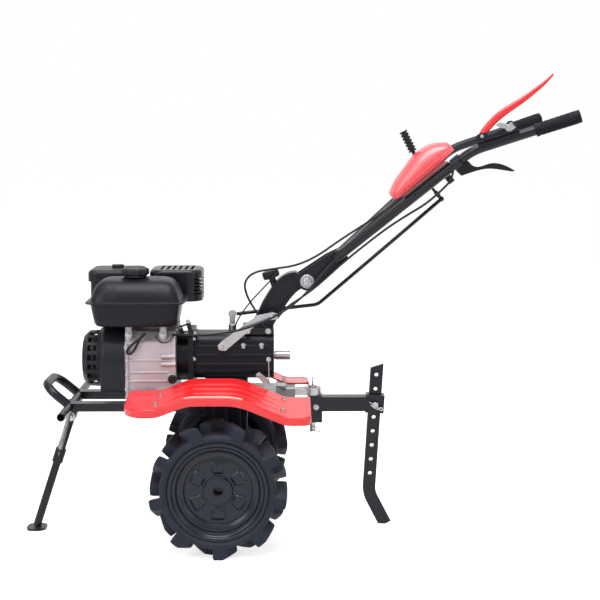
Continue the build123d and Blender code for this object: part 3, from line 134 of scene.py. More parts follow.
def seen_rays(tree):
    """A node whose value is 1 for camera rays and what mirrors and glass show, and 0 for all other rays."""
    path = add_node(tree, "LightPath")
    mirrored, seen = (add_node(tree, "Math", operation="ADD", clamp=True) for _ in range(2))
    wire(tree, (path, "Is Glossy Ray", mirrored, 0), (path, "Is Transmission Ray", mirrored, 1),
         (path, "Is Camera Ray", seen, 0), (mirrored, 0, seen, 1))
    return seen


print("helpers for shader nodes are ready")

# %% floor
PAPER, PAPER_GLOW = (0.82, 0.82, 0.82, 1), 0.656
FLOOR_HALF, FLOOR_DROP = 30.0, 0.0005


def white_floor():
    """Pale diffuse floor that also glows a little for camera rays, so that it meets the white sky."""
    material = bpy.data.materials.new("floor_paper")
    material.use_nodes = True
    tree = material.node_tree
    tree.nodes.clear()
    out, both, glow = (add_node(tree, kind) for kind in ("OutputMaterial", "AddShader", "Emission"))
    paper = add_node(tree, "BsdfDiffuse", {"Color": PAPER})
    level = add_node(tree, "Math", {1: PAPER_GLOW}, "MULTIPLY")
    wire(tree, (seen_rays(tree), 0, level, 0), (level, 0, glow, "Strength"), (paper, 0, both, 0),
         (glow, 0, both, 1), (both, 0, out, "Surface"))
    return material


corners = FLOOR_HALF * np.array([(-1, -1, 0), (1, -1, 0), (1, 1, 0), (-1, 1, 0)])
floor_mesh = bpy.data.meshes.new("floor")
floor_mesh.from_pydata(corners.tolist(), [], [(0, 1, 2, 3)])
floor = bpy.data.objects.new("floor", floor_mesh)
floor.location.z = -FLOOR_DROP
floor.data.materials.append(white_floor())
scene.collection.objects.link(floor)
print("floor", 2 * FLOOR_HALF, "metres square")

# %% world and lamps
ROOM_LIGHT, ROOM_SEEN = 0.42, 1.0

world = bpy.data.worlds.new("white_room")
scene.world = world
world.use_nodes = True
tree = world.node_tree
tree.nodes.clear()
out, room = add_node(tree, "OutputWorld"), add_node(tree, "Background", {"Color": (1, 1, 1, 1)})
strength = add_node(tree, "MapRange", {"To Min": ROOM_LIGHT, "To Max": ROOM_SEEN})
wire(tree, (seen_rays(tree), 0, strength, "Value"), (strength, "Result", room, "Strength"),
     (room, 0, out, "Surface"))


def soft_box(name, place, aim, size, watts):
    """A square area lamp at a place, turned towards a point."""
    lamp = bpy.data.lights.new(name, "AREA")
    lamp.shape = "SQUARE"
    lamp.size = size
    lamp.energy = watts
    look(bpy.data.objects.new(name, lamp), place, aim)


soft_box("box_above", (0.2, 0.9, 3.0), (0, 0, 0.5), 1.9, 105)
soft_box("box_front_left", (2.6, 2.8, 2.2), (0, 0, 0.5), 1.8, 60)
soft_box("box_right", (-2.8, 2.4, 1.6), (0, 0, 0.6), 1.6, 30)
soft_box("box_behind", (0.4, -3.0, 3.2), (0, 0, 0.5), 2.0, 14)

# %% [markdown]
# ## Shared surface effects
# No real surface is one flat colour. Castings are grainy, paint has a faint ripple, edges are rounded and catch
# the light, and dust settles on what faces up. Each of these is built once as a node group with named sockets,
# and every finish below uses the groups with its own numbers. The stripe on the fenders is a fourth group.


# %% node groups
STRIPE_X, STRIPE_Y, STRIPE_Z = (10.0 + AXLE_X) / 1000.0, 0.2670, 0.41


def new_group(name, numbers, outputs):
    """An empty shader group: numbers gives its inputs with their values, outputs each output with its kind."""
    group = bpy.data.node_groups.new(name, "ShaderNodeTree")
    for label, value in numbers.items():
        socket = group.interface.new_socket(label, in_out="INPUT", socket_type="NodeSocketFloat")
        socket.default_value = value
    for label, kind in outputs.items():
        group.interface.new_socket(label, in_out="OUTPUT", socket_type="NodeSocket" + kind)
    return group, group.nodes.new("NodeGroupInput"), group.nodes.new("NodeGroupOutput")


def grain_group():
    """Two sizes of noise on object coordinates: a fine height for bump and a broad mottle from 0 to 1."""
    group, entry, exit_ = new_group("surface_grain", {"Fine Scale": 900.0, "Broad Scale": 14.0},
                                    {"Height": "Float", "Mottle": "Float"})
    place = add_node(group, "TexCoord")
    for scale, detail, result in (("Fine Scale", 3.0, "Height"), ("Broad Scale", 4.0, "Mottle")):
        noise = add_node(group, "TexNoise", {"Detail": detail})
        wire(group, (place, "Object", noise, "Vector"), (entry, scale, noise, "Scale"),
             (noise, "Fac", exit_, result))
    return group


def edge_group():
    """Rounded normals near edges, and a mask from how far the rounded normal leaves the true one."""
    group, entry, exit_ = new_group("edge_catch", {"Radius": 0.0012}, {"Normal": "Vector", "Edge": "Float"})
    bevel, geometry = add_node(group, "Bevel"), add_node(group, "NewGeometry")
    bevel.samples = 4
    dot = add_node(group, "VectorMath", operation="DOT_PRODUCT")
    mask = add_node(group, "MapRange", {"From Min": 0.995, "From Max": 0.86})
    wire(group, (entry, "Radius", bevel, "Radius"), (bevel, "Normal", dot, 0), (geometry, "Normal", dot, 1),
         (dot, "Value", mask, "Value"), (bevel, "Normal", exit_, "Normal"), (mask, "Result", exit_, "Edge"))
    return group


def dust_group():
    """Dust: where the surface faces up, broken by noise, from 0 to the amount."""
    group, entry, exit_ = new_group("dust_film", {"Amount": 0.1}, {"Mask": "Float"})
    geometry, split, place = (add_node(group, kind) for kind in ("NewGeometry", "SeparateXYZ", "TexCoord"))
    noise = add_node(group, "TexNoise", {"Scale": 38.0, "Detail": 5.0})
    facing = add_node(group, "MapRange", {"From Min": 0.15, "From Max": 1.0})
    broken, scaled = (add_node(group, "Math", operation="MULTIPLY") for _ in range(2))
    wire(group, (geometry, "Normal", split, 0), (split, "Z", facing, "Value"), (place, "Object", noise, "Vector"),
         (facing, "Result", broken, 0), (noise, "Fac", broken, 1), (broken, 0, scaled, 0),
         (entry, "Amount", scaled, 1), (scaled, 0, exit_, "Mask"))
    return group


def stripe_group():
    """Plain stripe painted along each fender: a box on object coordinates, 1 inside it and 0 outside."""
    group, entry, exit_ = new_group("fender_stripe", {"Half Length": 0.075, "Half Width": 0.0042},
                                    {"Mask": "Float"})
    place, split = add_node(group, "TexCoord"), add_node(group, "SeparateXYZ")
    wire(group, (place, "Object", split, 0))

    def math(operation, first, second=0.0):
        node = add_node(group, "Math", operation=operation)
        fill(group, node.inputs[0], first)
        fill(group, node.inputs[1], second)
        return node.outputs[0]

    off_x = math("ABSOLUTE", math("SUBTRACT", split.outputs["X"], STRIPE_X))
    off_y = math("ABSOLUTE", math("SUBTRACT", math("ABSOLUTE", split.outputs["Y"]), STRIPE_Y))
    along = math("LESS_THAN", off_x, entry.outputs["Half Length"])
    across = math("LESS_THAN", off_y, entry.outputs["Half Width"])
    above = math("GREATER_THAN", split.outputs["Z"], STRIPE_Z)
    fill(group, exit_.inputs["Mask"], math("MULTIPLY", math("MULTIPLY", along, across), above))
    return group


GRAIN, EDGE, DUST, STRIPE = grain_group(), edge_group(), dust_group(), stripe_group()
print("node groups", GRAIN.name, EDGE.name, DUST.name, STRIPE.name)

# %% [markdown]
# ## Finishes
# One function wires the groups into a Principled shader. The base colour is mottled slightly, edges get a worn or
# polished tint, dust lightens what faces up, and the grain drives both the bump and the roughness. The numbers
# that are the same everywhere, such as the coat's roughness, sit on the shader's own sockets.

# %% finish function
COAT_ROUGHNESS, BUMP_DEPTH, EDGE_SHARE = 0.08, 0.0006, 0.35
STRIPE_COLOUR = (0.86, 0.72, 0.55)
FINISH = {}


def finish(name, colour, rough, metal=0.0, coat=0.0, mottle=0.12, edge_tint=None, radius=0.0012, bump=0.08,
           fine=900.0, broad=14.0, dust=0.05, dust_tint=(0.35, 0.34, 0.32), shine=0.5, striped=False):
    """A finish from colour, roughness range, grain and edge tint; colours are linear (r, g, b)."""
    material = FINISH[name] = bpy.data.materials.new(name)
    material.use_nodes = True
    tree = material.node_tree
    shader = tree.nodes["Principled BSDF"]
    for label, value in (("Metallic", metal), ("Coat Weight", coat), ("Coat Roughness", COAT_ROUGHNESS),
                         ("Specular IOR Level", shine)):
        shader.inputs[label].default_value = value
    grain = add_node(tree, "Group", {"Fine Scale": fine, "Broad Scale": broad}, shared=GRAIN)
    edge = add_node(tree, "Group", {"Radius": radius}, shared=EDGE)
    film = add_node(tree, "Group", {"Amount": dust}, shared=DUST)
    worn = add_node(tree, "Math", {1: EDGE_SHARE}, "MULTIPLY")
    gloss = add_node(tree, "MapRange", {"To Min": rough[0], "To Max": rough[1]})
    relief = add_node(tree, "Bump", {"Strength": bump, "Distance": BUMP_DEPTH})

    def mix(factor, first, second):
        node = add_node(tree, "Mix")
        node.data_type = "RGBA"
        for label, value in (("Factor", factor), ("A", first), ("B", second)):
            fill(tree, node.inputs[label], value)
        return node.outputs["Result"]

    dark = tuple(c * (1 - mottle) for c in colour)
    light = tuple(min(1.0, c * (1 + mottle)) for c in colour)
    base = mix(grain.outputs["Mottle"], dark, light)
    base = mix(worn.outputs[0], base, edge_tint or tuple(min(1.0, c * 1.8 + 0.02) for c in colour))
    base = mix(film.outputs["Mask"], base, dust_tint)
    if striped:
        base = mix(add_node(tree, "Group", shared=STRIPE).outputs["Mask"], base, STRIPE_COLOUR)
    fill(tree, shader.inputs["Base Color"], base)
    wire(tree, (edge, "Edge", worn, 0), (grain, "Mottle", gloss, "Value"), (gloss, "Result", shader, "Roughness"),
         (grain, "Height", relief, "Height"), (edge, "Normal", relief, "Normal"),
         (relief, "Normal", shader, "Normal"))


# %% the machine's finishes
finish("tyre_rubber", (0.010, 0.013, 0.022), (0.55, 0.72), bump=0.25, fine=700, broad=30, mottle=0.25, dust=0.06,
       radius=0.003, shine=0.2)
finish("wheel_paint", (0.004, 0.006, 0.013), (0.22, 0.32), bump=0.04, broad=20, dust=0.05, shine=0.26)
finish("bright_steel", (0.36, 0.355, 0.37), (0.26, 0.42), metal=1.0, bump=0.06, fine=1400, broad=60,
       edge_tint=(0.55, 0.55, 0.56), dust=0.0)
finish("gear_casting", (0.004, 0.005, 0.008), (0.28, 0.42), bump=0.25, fine=420, broad=26, radius=0.0025,
       dust=0.03, shine=0.16)
finish("engine_casting", (0.37, 0.335, 0.36), (0.40, 0.56), metal=0.5, bump=0.4, fine=520, broad=22, mottle=0.18,
       radius=0.002, edge_tint=(0.6, 0.57, 0.6), dust=0.0)
finish("shroud_black", (0.005, 0.006, 0.009), (0.34, 0.48), bump=0.12, fine=800, radius=0.002, shine=0.2,
       dust=0.03)
finish("tank_black", (0.004, 0.005, 0.008), (0.32, 0.42), bump=0.12, fine=1100, broad=10, radius=0.003, dust=0.02,
       shine=0.16)
finish("cap_black", (0.006, 0.006, 0.008), (0.38, 0.54), bump=0.12, fine=900, shine=0.22)
finish("black_paint", (0.004, 0.005, 0.008), (0.22, 0.34), bump=0.05, fine=600, broad=18,
       edge_tint=(0.04, 0.04, 0.045), dust=0.03, shine=0.24)
finish("red_paint", (0.64, 0.012, 0.016), (0.22, 0.30), coat=0.12, bump=0.02, fine=500, broad=8, mottle=0.05,
       edge_tint=(0.72, 0.05, 0.05), dust=0.02, dust_tint=(0.8, 0.5, 0.5), shine=0.42, striped=True)
finish("red_plastic", (0.66, 0.035, 0.045), (0.44, 0.52), coat=0.3, bump=0.02, fine=700, mottle=0.05,
       edge_tint=(0.8, 0.08, 0.08), dust=0.02, dust_tint=(0.85, 0.5, 0.48), radius=0.0, shine=1.0)
finish("cable_sheath", (0.005, 0.005, 0.007), (0.34, 0.46), bump=0.05, shine=0.22)
finish("grip_rubber", (0.004, 0.005, 0.008), (0.5, 0.66), bump=0.2, fine=900, shine=0.1)
for row in frame["record"]["subparts"]:
    node = frame["nodes"][row["node"]]
    node.data.materials.clear()
    node.data.materials.append(FINISH[row["material_slot"]])
print("finishes", len(FINISH))

# %% [markdown]
# ## Tools for new pieces
# Every added piece is a surface worked out as arrays: a grid of points with two parameters, such as the angle
# round a bolt and the height on it, or a profile carried along a path. The grid is turned into quads in one
# step. Blender's modelling tools could draw the same shapes by hand, but a formula keeps each size in view.


# %% grids and pieces
MERGE, ROUTE_STEPS = 2e-6, 8


def grid_faces(rows, columns, close_rows=False, close_columns=True):
    """Quads between neighbours of a rows by columns grid; a closed direction joins its last line to its first."""
    row = np.arange(rows if close_rows else rows - 1)
    column = np.arange(columns if close_columns else columns - 1)
    i, j = (part.ravel() for part in np.meshgrid(row, column, indexing="ij"))
    below, right = (i + 1) % rows, (j + 1) % columns
    return np.stack([i * columns + j, i * columns + right, below * columns + right, below * columns + j], axis=1)


def closed_faces(rows, columns, close_columns=True):
    """The quads of a grid, with a flat face on its first row and one on its last."""
    row = np.arange(columns)
    return [*grid_faces(rows, columns, close_columns=close_columns), row[::-1], (rows - 1) * columns + row]


def make_piece(name, points, faces, slot, body=None, replaced=(), crease=35.0):
    """A mesh from points in millimetres: doubles merged, faces turned outwards, edges over the crease sharp."""
    mesh = bpy.data.meshes.new(name)
    mesh.from_pydata(metres(points).tolist(), [], [list(face) for face in faces])
    shape = bmesh.new()
    shape.from_mesh(mesh)
    bmesh.ops.remove_doubles(shape, verts=shape.verts, dist=MERGE)
    bmesh.ops.recalc_face_normals(shape, faces=shape.faces)
    shape.to_mesh(mesh)
    shape.free()
    mesh.shade_smooth()
    mesh.set_sharp_from_angle(angle=np.radians(crease))
    mesh.materials.append(FINISH[slot])
    piece = bpy.data.objects.new(name, mesh)
    scene.collection.objects.link(piece)
    if body:
        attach(piece, body)
    if replaced:
        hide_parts(*replaced)
    print(name, len(mesh.polygons), "faces")
    return piece


def many(parts):
    """Several (points, faces) pairs become one pair; the faces are renumbered by the points before them."""
    starts = np.cumsum([0] + [len(points) for points, _ in parts[:-1]])
    points = np.concatenate([points for points, _ in parts])
    faces = [np.asarray(face) + start for (_, group), start in zip(parts, starts) for face in group]
    return points, faces


def unit(vectors):
    """Vectors of length one."""
    return vectors / np.linalg.norm(vectors, axis=-1, keepdims=True)


def axes_of(direction):
    """Three unit vectors: two square to the direction, and the direction itself."""
    along = unit(np.asarray(direction, float))
    side = unit(np.cross((0.0, 0.0, 1.0) if abs(along[2]) < 0.9 else (1.0, 0.0, 0.0), along))
    return side, np.cross(along, side), along


def full_turn(count):
    """Angles spread evenly round a circle."""
    return np.linspace(0, 2 * np.pi, count, endpoint=False)


def round_point(angle):
    """Points (cos t, sin t) of the unit circle."""
    return np.stack([np.cos(angle), np.sin(angle)], axis=-1)


def turned(profile, place, direction, count, lobes=None):
    """A profile of (radius, height) turned round an axis.

    The point at angle t and profile row v is place + r(v) (cos t side + sin t rise) + h(v) along. Where lobes is
    given, it is a function of the angle and the row that scales the radius.
    """
    side, rise, along = axes_of(direction)
    profile = np.asarray(profile, float)
    angle = full_turn(count)
    radius = np.repeat(profile[:, :1], count, axis=1)
    if lobes is not None:
        radius = radius * lobes(angle[None, :], np.arange(len(profile))[:, None])
    ring = radius[..., None] * (round_point(angle) @ np.array([side, rise]))
    points = np.asarray(place, float) + ring + profile[:, 1, None, None] * along
    return points.reshape(-1, 3), grid_faces(len(profile), count)


def rod(radius, low, high, place, direction, count=24):
    """A plain round rod along a direction, from low to high above a place."""
    return turned([(0, low), (radius, low), (radius, high), (0, high)], place, direction, count)


def circle(radius, count):
    """A round profile as points (across, up)."""
    return radius * round_point(full_turn(count))


def superellipse(angle, power):
    """The coordinates of |x|^n + |y|^n = 1 at an angle, where the power is 2 / n."""
    cosine, sine = np.cos(angle), np.sin(angle)
    return np.sign(cosine) * np.abs(cosine) ** power, np.sign(sine) * np.abs(sine) ** power


def carried(path, profile, up=(0.13, 0.21, 0.97), widths=None):
    """A closed profile carried along a path, with flat ends.

    At each place the profile's axes are side = up x along and rise = along x side. Where widths is given, it
    scales the profile from place to place.
    """
    path, profile = np.asarray(path, float), np.asarray(profile, float)
    along = unit(np.gradient(path, axis=0))
    side = unit(np.cross(np.asarray(up, float), along))
    rise = np.cross(along, side)
    scale = np.ones(len(path)) if widths is None else np.asarray(widths, float)
    across = profile[None, :, 0, None] * side[:, None] + profile[None, :, 1, None] * rise[:, None]
    points = path[:, None] + scale[:, None, None] * across
    return points.reshape(-1, 3), closed_faces(len(path), len(profile))


def route(places):
    """Points read from a smooth spline that takes the given places, in millimetres, as its control points."""
    curve = bpy.data.curves.new("route", "CURVE")
    curve.dimensions = "3D"
    curve.resolution_u = ROUTE_STEPS
    spline = curve.splines.new("NURBS")
    spline.points.add(len(places) - 1)
    spline.points.foreach_set("co", np.c_[np.asarray(places, float), np.ones(len(places))].ravel())
    spline.order_u = 3
    spline.use_endpoint_u = True
    holder = bpy.data.objects.new("route", curve)
    mesh = bpy.data.meshes.new_from_object(holder)
    flat = np.empty(len(mesh.vertices) * 3)
    mesh.vertices.foreach_get("co", flat)
    bpy.data.objects.remove(holder)
    bpy.data.curves.remove(curve)
    bpy.data.meshes.remove(mesh)
    return flat.reshape(-1, 3)


def plate(outline, across, low, high):
    """A flat plate: an outline of points in the plane square to across, extruded from low to high along it."""
    outline, across = np.asarray(outline, float), np.asarray(across, float)
    points = np.concatenate([outline + across * low, outline + across * high])
    return points, closed_faces(2, len(outline))


print("tools for pieces are ready")

# %% [markdown]
# ## Bolts
# Hexagon heads on round washers hold the machine together, and their zinc is what makes a black machine read as
# an assembly. A head is the meeting of a hexagonal prism and a flat cone: round the head, the prism's radius is
# half the width over flats divided by the cosine of the angle to the nearest flat, and near the top the cone cuts
# the six corners round. One array holds all heads of a group.


# %% bolt heads
# Rows of (radius, height, 1 on the hexagon), as shares of the width over flats.
HEAD = np.array([(0.86, 0.00, 0), (0.86, 0.10, 0), (0.82, 0.13, 0), (0.56, 0.13, 1), (0.56, 0.58, 1),
                 (0.53, 0.66, 1), (0.46, 0.70, 0), (0.0, 0.71, 0)])
HEAD_RADIUS, CONE_FROM = 0.56, 0.6


def to_flat(angle):
    """The angle to the middle of a hexagon's nearest flat."""
    return (angle + np.pi / 6) % (np.pi / 3) - np.pi / 6


def hexagon(angle, row):
    """Scale of a head's radius: the prism on the hexagon's rows, cut by the cone near the top."""
    prism = 0.5 / np.cos(to_flat(angle)) / HEAD_RADIUS
    cone = np.where(HEAD[row, 1] > CONE_FROM, 1.0, np.inf)
    return np.where(HEAD[row, 2] == 1, np.minimum(prism, cone), 1.0)


def bolt_head(place, direction, across):
    """One head and its washer, standing on a place and pointing along a direction."""
    return turned(HEAD[:, :2] * across, place, direction, 36, hexagon)


LEFT = np.array([0.0, 1.0, 0.0])
UP = np.array([0.0, 0.0, 1.0])
FENDER_TILT = np.radians(6.0)
FENDER_UP = np.array([0.0, np.sin(FENDER_TILT), np.cos(FENDER_TILT)])
FENDER_BOLTS = [(161.2, 232.8, 402.2), (155.4, 155.4, 410.5), (-168.1, 222.5, 384.7), (-171, 125.8, 393.7)]
MIRROR = np.array([1.0, -1.0, 1.0])
SIDES = (("left", np.ones(3)), ("right", MIRROR))
# Widths over flats.
TINY, MINOR, SMALL, MEDIUM, PIVOT, TILT = 7.0, 8.0, 9.0, 11.0, 15.0, 22.0


def both_sides(place, across):
    """Two heads that face left and right, at a place on the left and its mirror image."""
    return [bolt_head(np.array(place) * flip, LEFT * flip, across) for _, flip in SIDES]


heads = [bolt_head(np.array(place) * flip, FENDER_UP * flip, SMALL) for _, flip in SIDES for place in FENDER_BOLTS]
make_piece("fender_bolts", *many(heads), "bright_steel", "chassis")

BELL_BOLTS = [(74, 70, 433), (74, 70, 493), (74, 70, 549)]
bell = [bolt_head(np.array(place) * flip, (-1, 0, 0), SMALL) for _, flip in SIDES for place in BELL_BOLTS]
SEAT_AND_COVER = [(-72, 54, 567), (-128, 54, 567), (-61, 62, 528), (-110, 62, 528)]
seat_and_cover = [head for place in SEAT_AND_COVER for head in both_sides(place, SMALL)]
make_piece("gear_case_bolts", *many(bell + seat_and_cover), "bright_steel", "chassis")

ENGINE_SIDE = 95.0
block = [bolt_head((252.5, ENGINE_SIDE, z), LEFT, TINY) for z in (415.0, 455.0, 495.0, 530.0)]
posts = [bolt_head((x, 86.0, 563.0), LEFT, MEDIUM) for x in (247.0, 155.0)]
brace = [bolt_head((-2.0, 72.0, 526.0), LEFT, MEDIUM), bolt_head((-138.0, 72.0, 610.0), LEFT, MEDIUM)]
make_piece("engine_bolts", *many(block + posts + brace), "bright_steel", "chassis")

for name, place, across, body in (("tilt_bolt_heads", (-234.0, 30.0, 700.0), TILT, "handlebar"),
                                  ("hitch_bolts", (-259.0, 26.0, 350.0), SMALL, "hitch"),
                                  ("stand_pivot_heads", (419.0, 20.0, 324.0), PIVOT, "chassis")):
    make_piece(name, *many(both_sides(place, across)), "bright_steel", body)

# %% [markdown]
# ## Stand spring
# A close-wound tension spring pulls the stand up when it is folded. The measured solid is a plain rod, so the
# wire is drawn instead: a circle carried along a helix, whose turns lie almost against each other, with a hook at
# each end round its peg. The wire rides on no body.

# %% spring
SPRING_TOP = np.array([418.0, 30.0, 346.0])
SPRING_FOOT = np.array([451.55, 30.0, 223.56])
WIRE, COIL, HOOK, TURNS, TURN_STEPS = 1.15, 4.7, 5.4, 34, 14
side, rise, along = axes_of(SPRING_FOOT - SPRING_TOP)
span = np.linalg.norm(SPRING_FOOT - SPRING_TOP)
share = np.linspace(0.09, 0.91, TURNS * TURN_STEPS)
turn = 2 * np.pi * TURNS * (share - share[0]) / (share[-1] - share[0])
helix = SPRING_TOP + (share * span)[:, None] * along + COIL * round_point(turn) @ np.array([side, rise])
arc = HOOK * round_point(np.linspace(0, 1.6 * np.pi, 18))
hook_top, hook_foot = SPRING_TOP - arc @ np.array([-along, side]), SPRING_FOOT - arc @ np.array([along, side])
wires = [carried(path, circle(WIRE, 8), up=up)
         for path, up in ((helix, along), (hook_top, LEFT), (hook_foot, LEFT))]
spring = make_piece("spring_wire", *many(wires), "bright_steel", replaced=["stand_spring"])
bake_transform(spring)

# %% [markdown]
# ## Cables and the shift rod
# Three sheathed cables and one bent rod run from the handlebar down to the engine and the gear case. The measured
# solids are straight runs with arcs; a real cable is one smooth curve, so points along the same way steer a
# spline, and a round profile is carried along it. Each rides on no body, though the handlebar tilts.

# %% cable routes
CABLE, SHIFT_ROD = 2.9, 5.0
HANDLE_FOOT = np.array([-312.0, 26.0, 762.0])
HANDLE_BEND = np.array([-652.0, 206.0, 1056.0])
HANDLE_END = np.array([-912.0, 258.0, 1142.0])
HANDLE_TUBE = 12.5


def beside_tube(share):
    """A point against the outside of the left tube: along its lower run, then outwards by both radii."""
    run = HANDLE_BEND - HANDLE_FOOT
    outward = unit(np.array([run[1], -run[0], 0.0]))
    return HANDLE_FOOT + run * share + outward * (HANDLE_TUBE + CABLE)


CLUTCH_ROUTE = [
    (-607, 184, 1003), (-605, 187, 992.6), (-599, 187, 976), (-581, 183, 957), (-560, 172, 936), (-536, 152, 914),
    (-504, 127, 892), (-464, 104, 864), (-430, 88, 838), (-370, 58, 787), (-320, 48, 744), (-262, 44, 690),
    (-215, 42, 655), (-175, 42, 630), (-152, 42, 600)]
THROTTLE_ROUTE = [(130, 76, 561), (86, 80, 560), (40, 82, 561), (-24, 82, 568), (-90, 82, 585), (-150, 82, 612),
                  (-200, 77, 645), (-240, 68, 682), (-278, 58, 732), *(beside_tube(s) for s in (0.12, 0.3, 0.61))]
REVERSE_ROUTE = [
    (-490, 36, 938), (-465, 54, 916), (-440, 66, 893), (-380, 50, 852), (-320, 36, 812), (-262, 34, 770),
    (-205, 34, 744), (-140, 34, 735), (-88, 37, 727), (-62, 41, 700), (-70, 45, 662), (-92, 47, 625),
    (-108, 47, 600), (-114, 47, 577)]
ROD_ROUTE = [(-39, -38, 602), (-150, -38, 615), (-236, -38, 625), (-264, -38, 628), (-284, -38, 645),
             (-430, -38, 770), (-560, -38, 882), (-604.5, -38, 920.6)]
for name, places, radius, slot in (("clutch_sheath", CLUTCH_ROUTE, CABLE, "cable_sheath"),
                                   ("throttle_sheath", THROTTLE_ROUTE, CABLE, "cable_sheath"),
                                   ("reverse_sheath", REVERSE_ROUTE, CABLE, "cable_sheath"),
                                   ("shift_rod_bar", ROD_ROUTE, SHIFT_ROD, "black_paint")):
    node = name.replace("_sheath", "_cable").replace("_bar", "")
    tube = make_piece(name, *carried(route(places), circle(radius, 16)), slot, replaced=[node])
    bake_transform(tube)

# %% [markdown]
# ## Grips
# The grips are soft rubber sleeves with a collar at the thumb and fine ribs along them, so that the hand does not
# slip. The radius is a function of the place along the grip and of the angle: a base, plus ribs where the cosine
# of twenty times the angle is high, faded out near the ends.

# %% grips
GRIP_LENGTH, GRIP_END, RIBS, RIB_RISE, RING_ROWS = 118.0, 4.0, 20, 0.042, 10
RIB_ENDS, UP_AND_DOWN = (0.10, 0.14, 0.90, 0.94), (0.0, 1.0, 1.0, 0.0)
direction = unit(HANDLE_END - HANDLE_BEND)
grip_start = HANDLE_END - direction * (GRIP_LENGTH - GRIP_END)
place = np.linspace(0, 1, 90)
base = np.interp(place, [0, 0.01, 0.05, 0.07, 0.10, 0.94, 0.975, 0.99, 1.0],
                 [12.6, 16.6, 17.0, 16.6, 15.6, 16.2, 16.8, 16.0, 11.0])
ribbed = np.interp(place, RIB_ENDS, UP_AND_DOWN)
profile = np.concatenate([np.stack([base, place * GRIP_LENGTH], axis=1), [(0.0, GRIP_LENGTH)]])
ribbed = np.append(ribbed, 0.0)


def grip_ribs(angle, row):
    """Scale of the radius: twenty ribs round the grip, broken by a ring every ninth of its length."""
    rib = np.clip(np.cos(RIBS * angle) * 1.6, -0.4, 1.0)
    ring = np.where(np.cos(row * 2 * np.pi / RING_ROWS) > 0.85, 0.0, 1.0)
    return 1.0 + RIB_RISE * ribbed[row] * rib * ring


points, faces = turned(profile, grip_start, direction, 160, grip_ribs)
for name, flip in SIDES:
    make_piece(f"grip_{name}_rubber", points * flip, faces, "grip_rubber", "handlebar", [f"grip_{name}"])

# %% [markdown]
# ## Clutch latch and pins
# The clutch lever has a small bright catch that holds it down, and the two loose pins of the hitch are kept by
# spring clips of bent wire. Each is drawn in the plane where it lies: the catch as a plate with a thickness, the
# clips as a round wire along a smooth route.

# %% catch and clips
square = unit(np.cross(UP, direction))
grip_rise = np.cross(direction, square)


def at_grip(places):
    """Points given as (along the grip end of the left tube, square above it)."""
    places = np.asarray(places, float)
    return HANDLE_BEND + places[..., :1] * direction + places[..., 1:] * grip_rise


CATCH = [(75, 44), (86, 47), (98, 41), (114, 24), (107, 20), (83, 35)]
CATCH_EAR = [(96, 30), (104, 36), (116, 34), (122, 22), (108, 17), (97, 20)]
catch_piece = many([plate(at_grip(CATCH), -square, 13.2, 16.2), plate(at_grip(CATCH_EAR), -square, 13.2, 14.6)])
make_piece("clutch_catch", *catch_piece, "bright_steel", "handlebar")

PIN_CLIP = [(-406, 366), (-410, 363), (-416, 361), (-422, 357), (-428, 352), (-433, 346), (-439, 341), (-443, 345),
            (-440, 351), (-434, 349), (-428, 345), (-422, 348), (-415, 353), (-409, 358)]
LOW_CLIP = [(-246, 291), (-258, 292), (-266, 286), (-271, 280), (-267, 275), (-259, 279), (-253, 283), (-247, 277)]
clips = [carried(route([(x, y, z) for x, z in clip]), circle(1.5, 10), up=LEFT)
         for clip, y in ((PIN_CLIP, 33.5), (LOW_CLIP, 9.5))]
make_piece("pin_clips", *many(clips), "bright_steel", "hitch")

# %% [markdown]
# ## Fenders
# The measured fender is a bent sheet with square ridges. A pressed one is softer: its ridges swell and fade out
# before the ends, and its edge rises into a bead and rolls down. In plan it is a four-sided patch, so every point
# inside comes from its four edges by transfinite blending: P(u, v) = (1-v) B(u) + v T(u) + (1-u) L(v) + u R(v)
# less the bilinear patch of the four corners. The height then follows from the plan.

# %% fender plan and height
FENDER_INNER, FENDER_WIDTH, FENDER_CROWN = 105.0, 178.0, 447.0
FENDER_FRONT, FENDER_REAR = 245.0, -242.0
FRONT_ROUND, REAR_ROUND = 62.0, 22.0
FENDER_LINE = np.array([(245, 413), (155, 416), (78, 447), (-52, 447), (-176, 394), (-242, 394)], float)
FENDER_ROUNDS = (70.0, 110.0, 150.0, 60.0)
RIM_WIDTH, RIM_RISE, LIP_DROP, LIP_ROUND, SHEET = 14.0, 2.0, 21.0, 5.0, 2.5
SIDE_COUNT, TOP_COUNT, RIDGE_ENDS = 60, 90, (-172.0, -120.0, 118.0, 158.0)
RIDGES, RIDGE_HALF, RIDGE_RISE = np.array([0.30, 0.52, 0.74]) * FENDER_WIDTH, 8.0, 2.2


def fender_height(x):
    """Height of the side line at x: straight runs, and cz +- sqrt(r^2 - (x - cx)^2) round each corner."""
    height = np.interp(x, FENDER_LINE[::-1, 0], FENDER_LINE[::-1, 1])
    for before, corner, after, radius in zip(FENDER_LINE, FENDER_LINE[1:], FENDER_LINE[2:], FENDER_ROUNDS):
        arms = unit(np.array([before - corner, after - corner]))
        middle = unit(arms.sum(axis=0))
        half = np.arccos(middle @ arms[0])
        centre = corner + middle * radius / np.sin(half)
        touch = corner[0] + arms[:, 0] * radius / np.tan(half)
        arc = centre[1] - np.sign(middle[1]) * np.sqrt(np.maximum(radius ** 2 - (x - centre[0]) ** 2, 0.0))
        height = np.where((x > touch.min()) & (x < touch.max()), arc, height)
    return height


def on_fender(x, across, lift):
    """The point of the left fender at x and across it from its inner edge, lifted off the side line."""
    drop = fender_height(x) + lift - FENDER_CROWN
    y = FENDER_INNER + across * np.cos(FENDER_TILT) + drop * np.sin(FENDER_TILT)
    z = FENDER_CROWN - across * np.sin(FENDER_TILT) + drop * np.cos(FENDER_TILT)
    return np.stack([x, y, z], axis=-1)


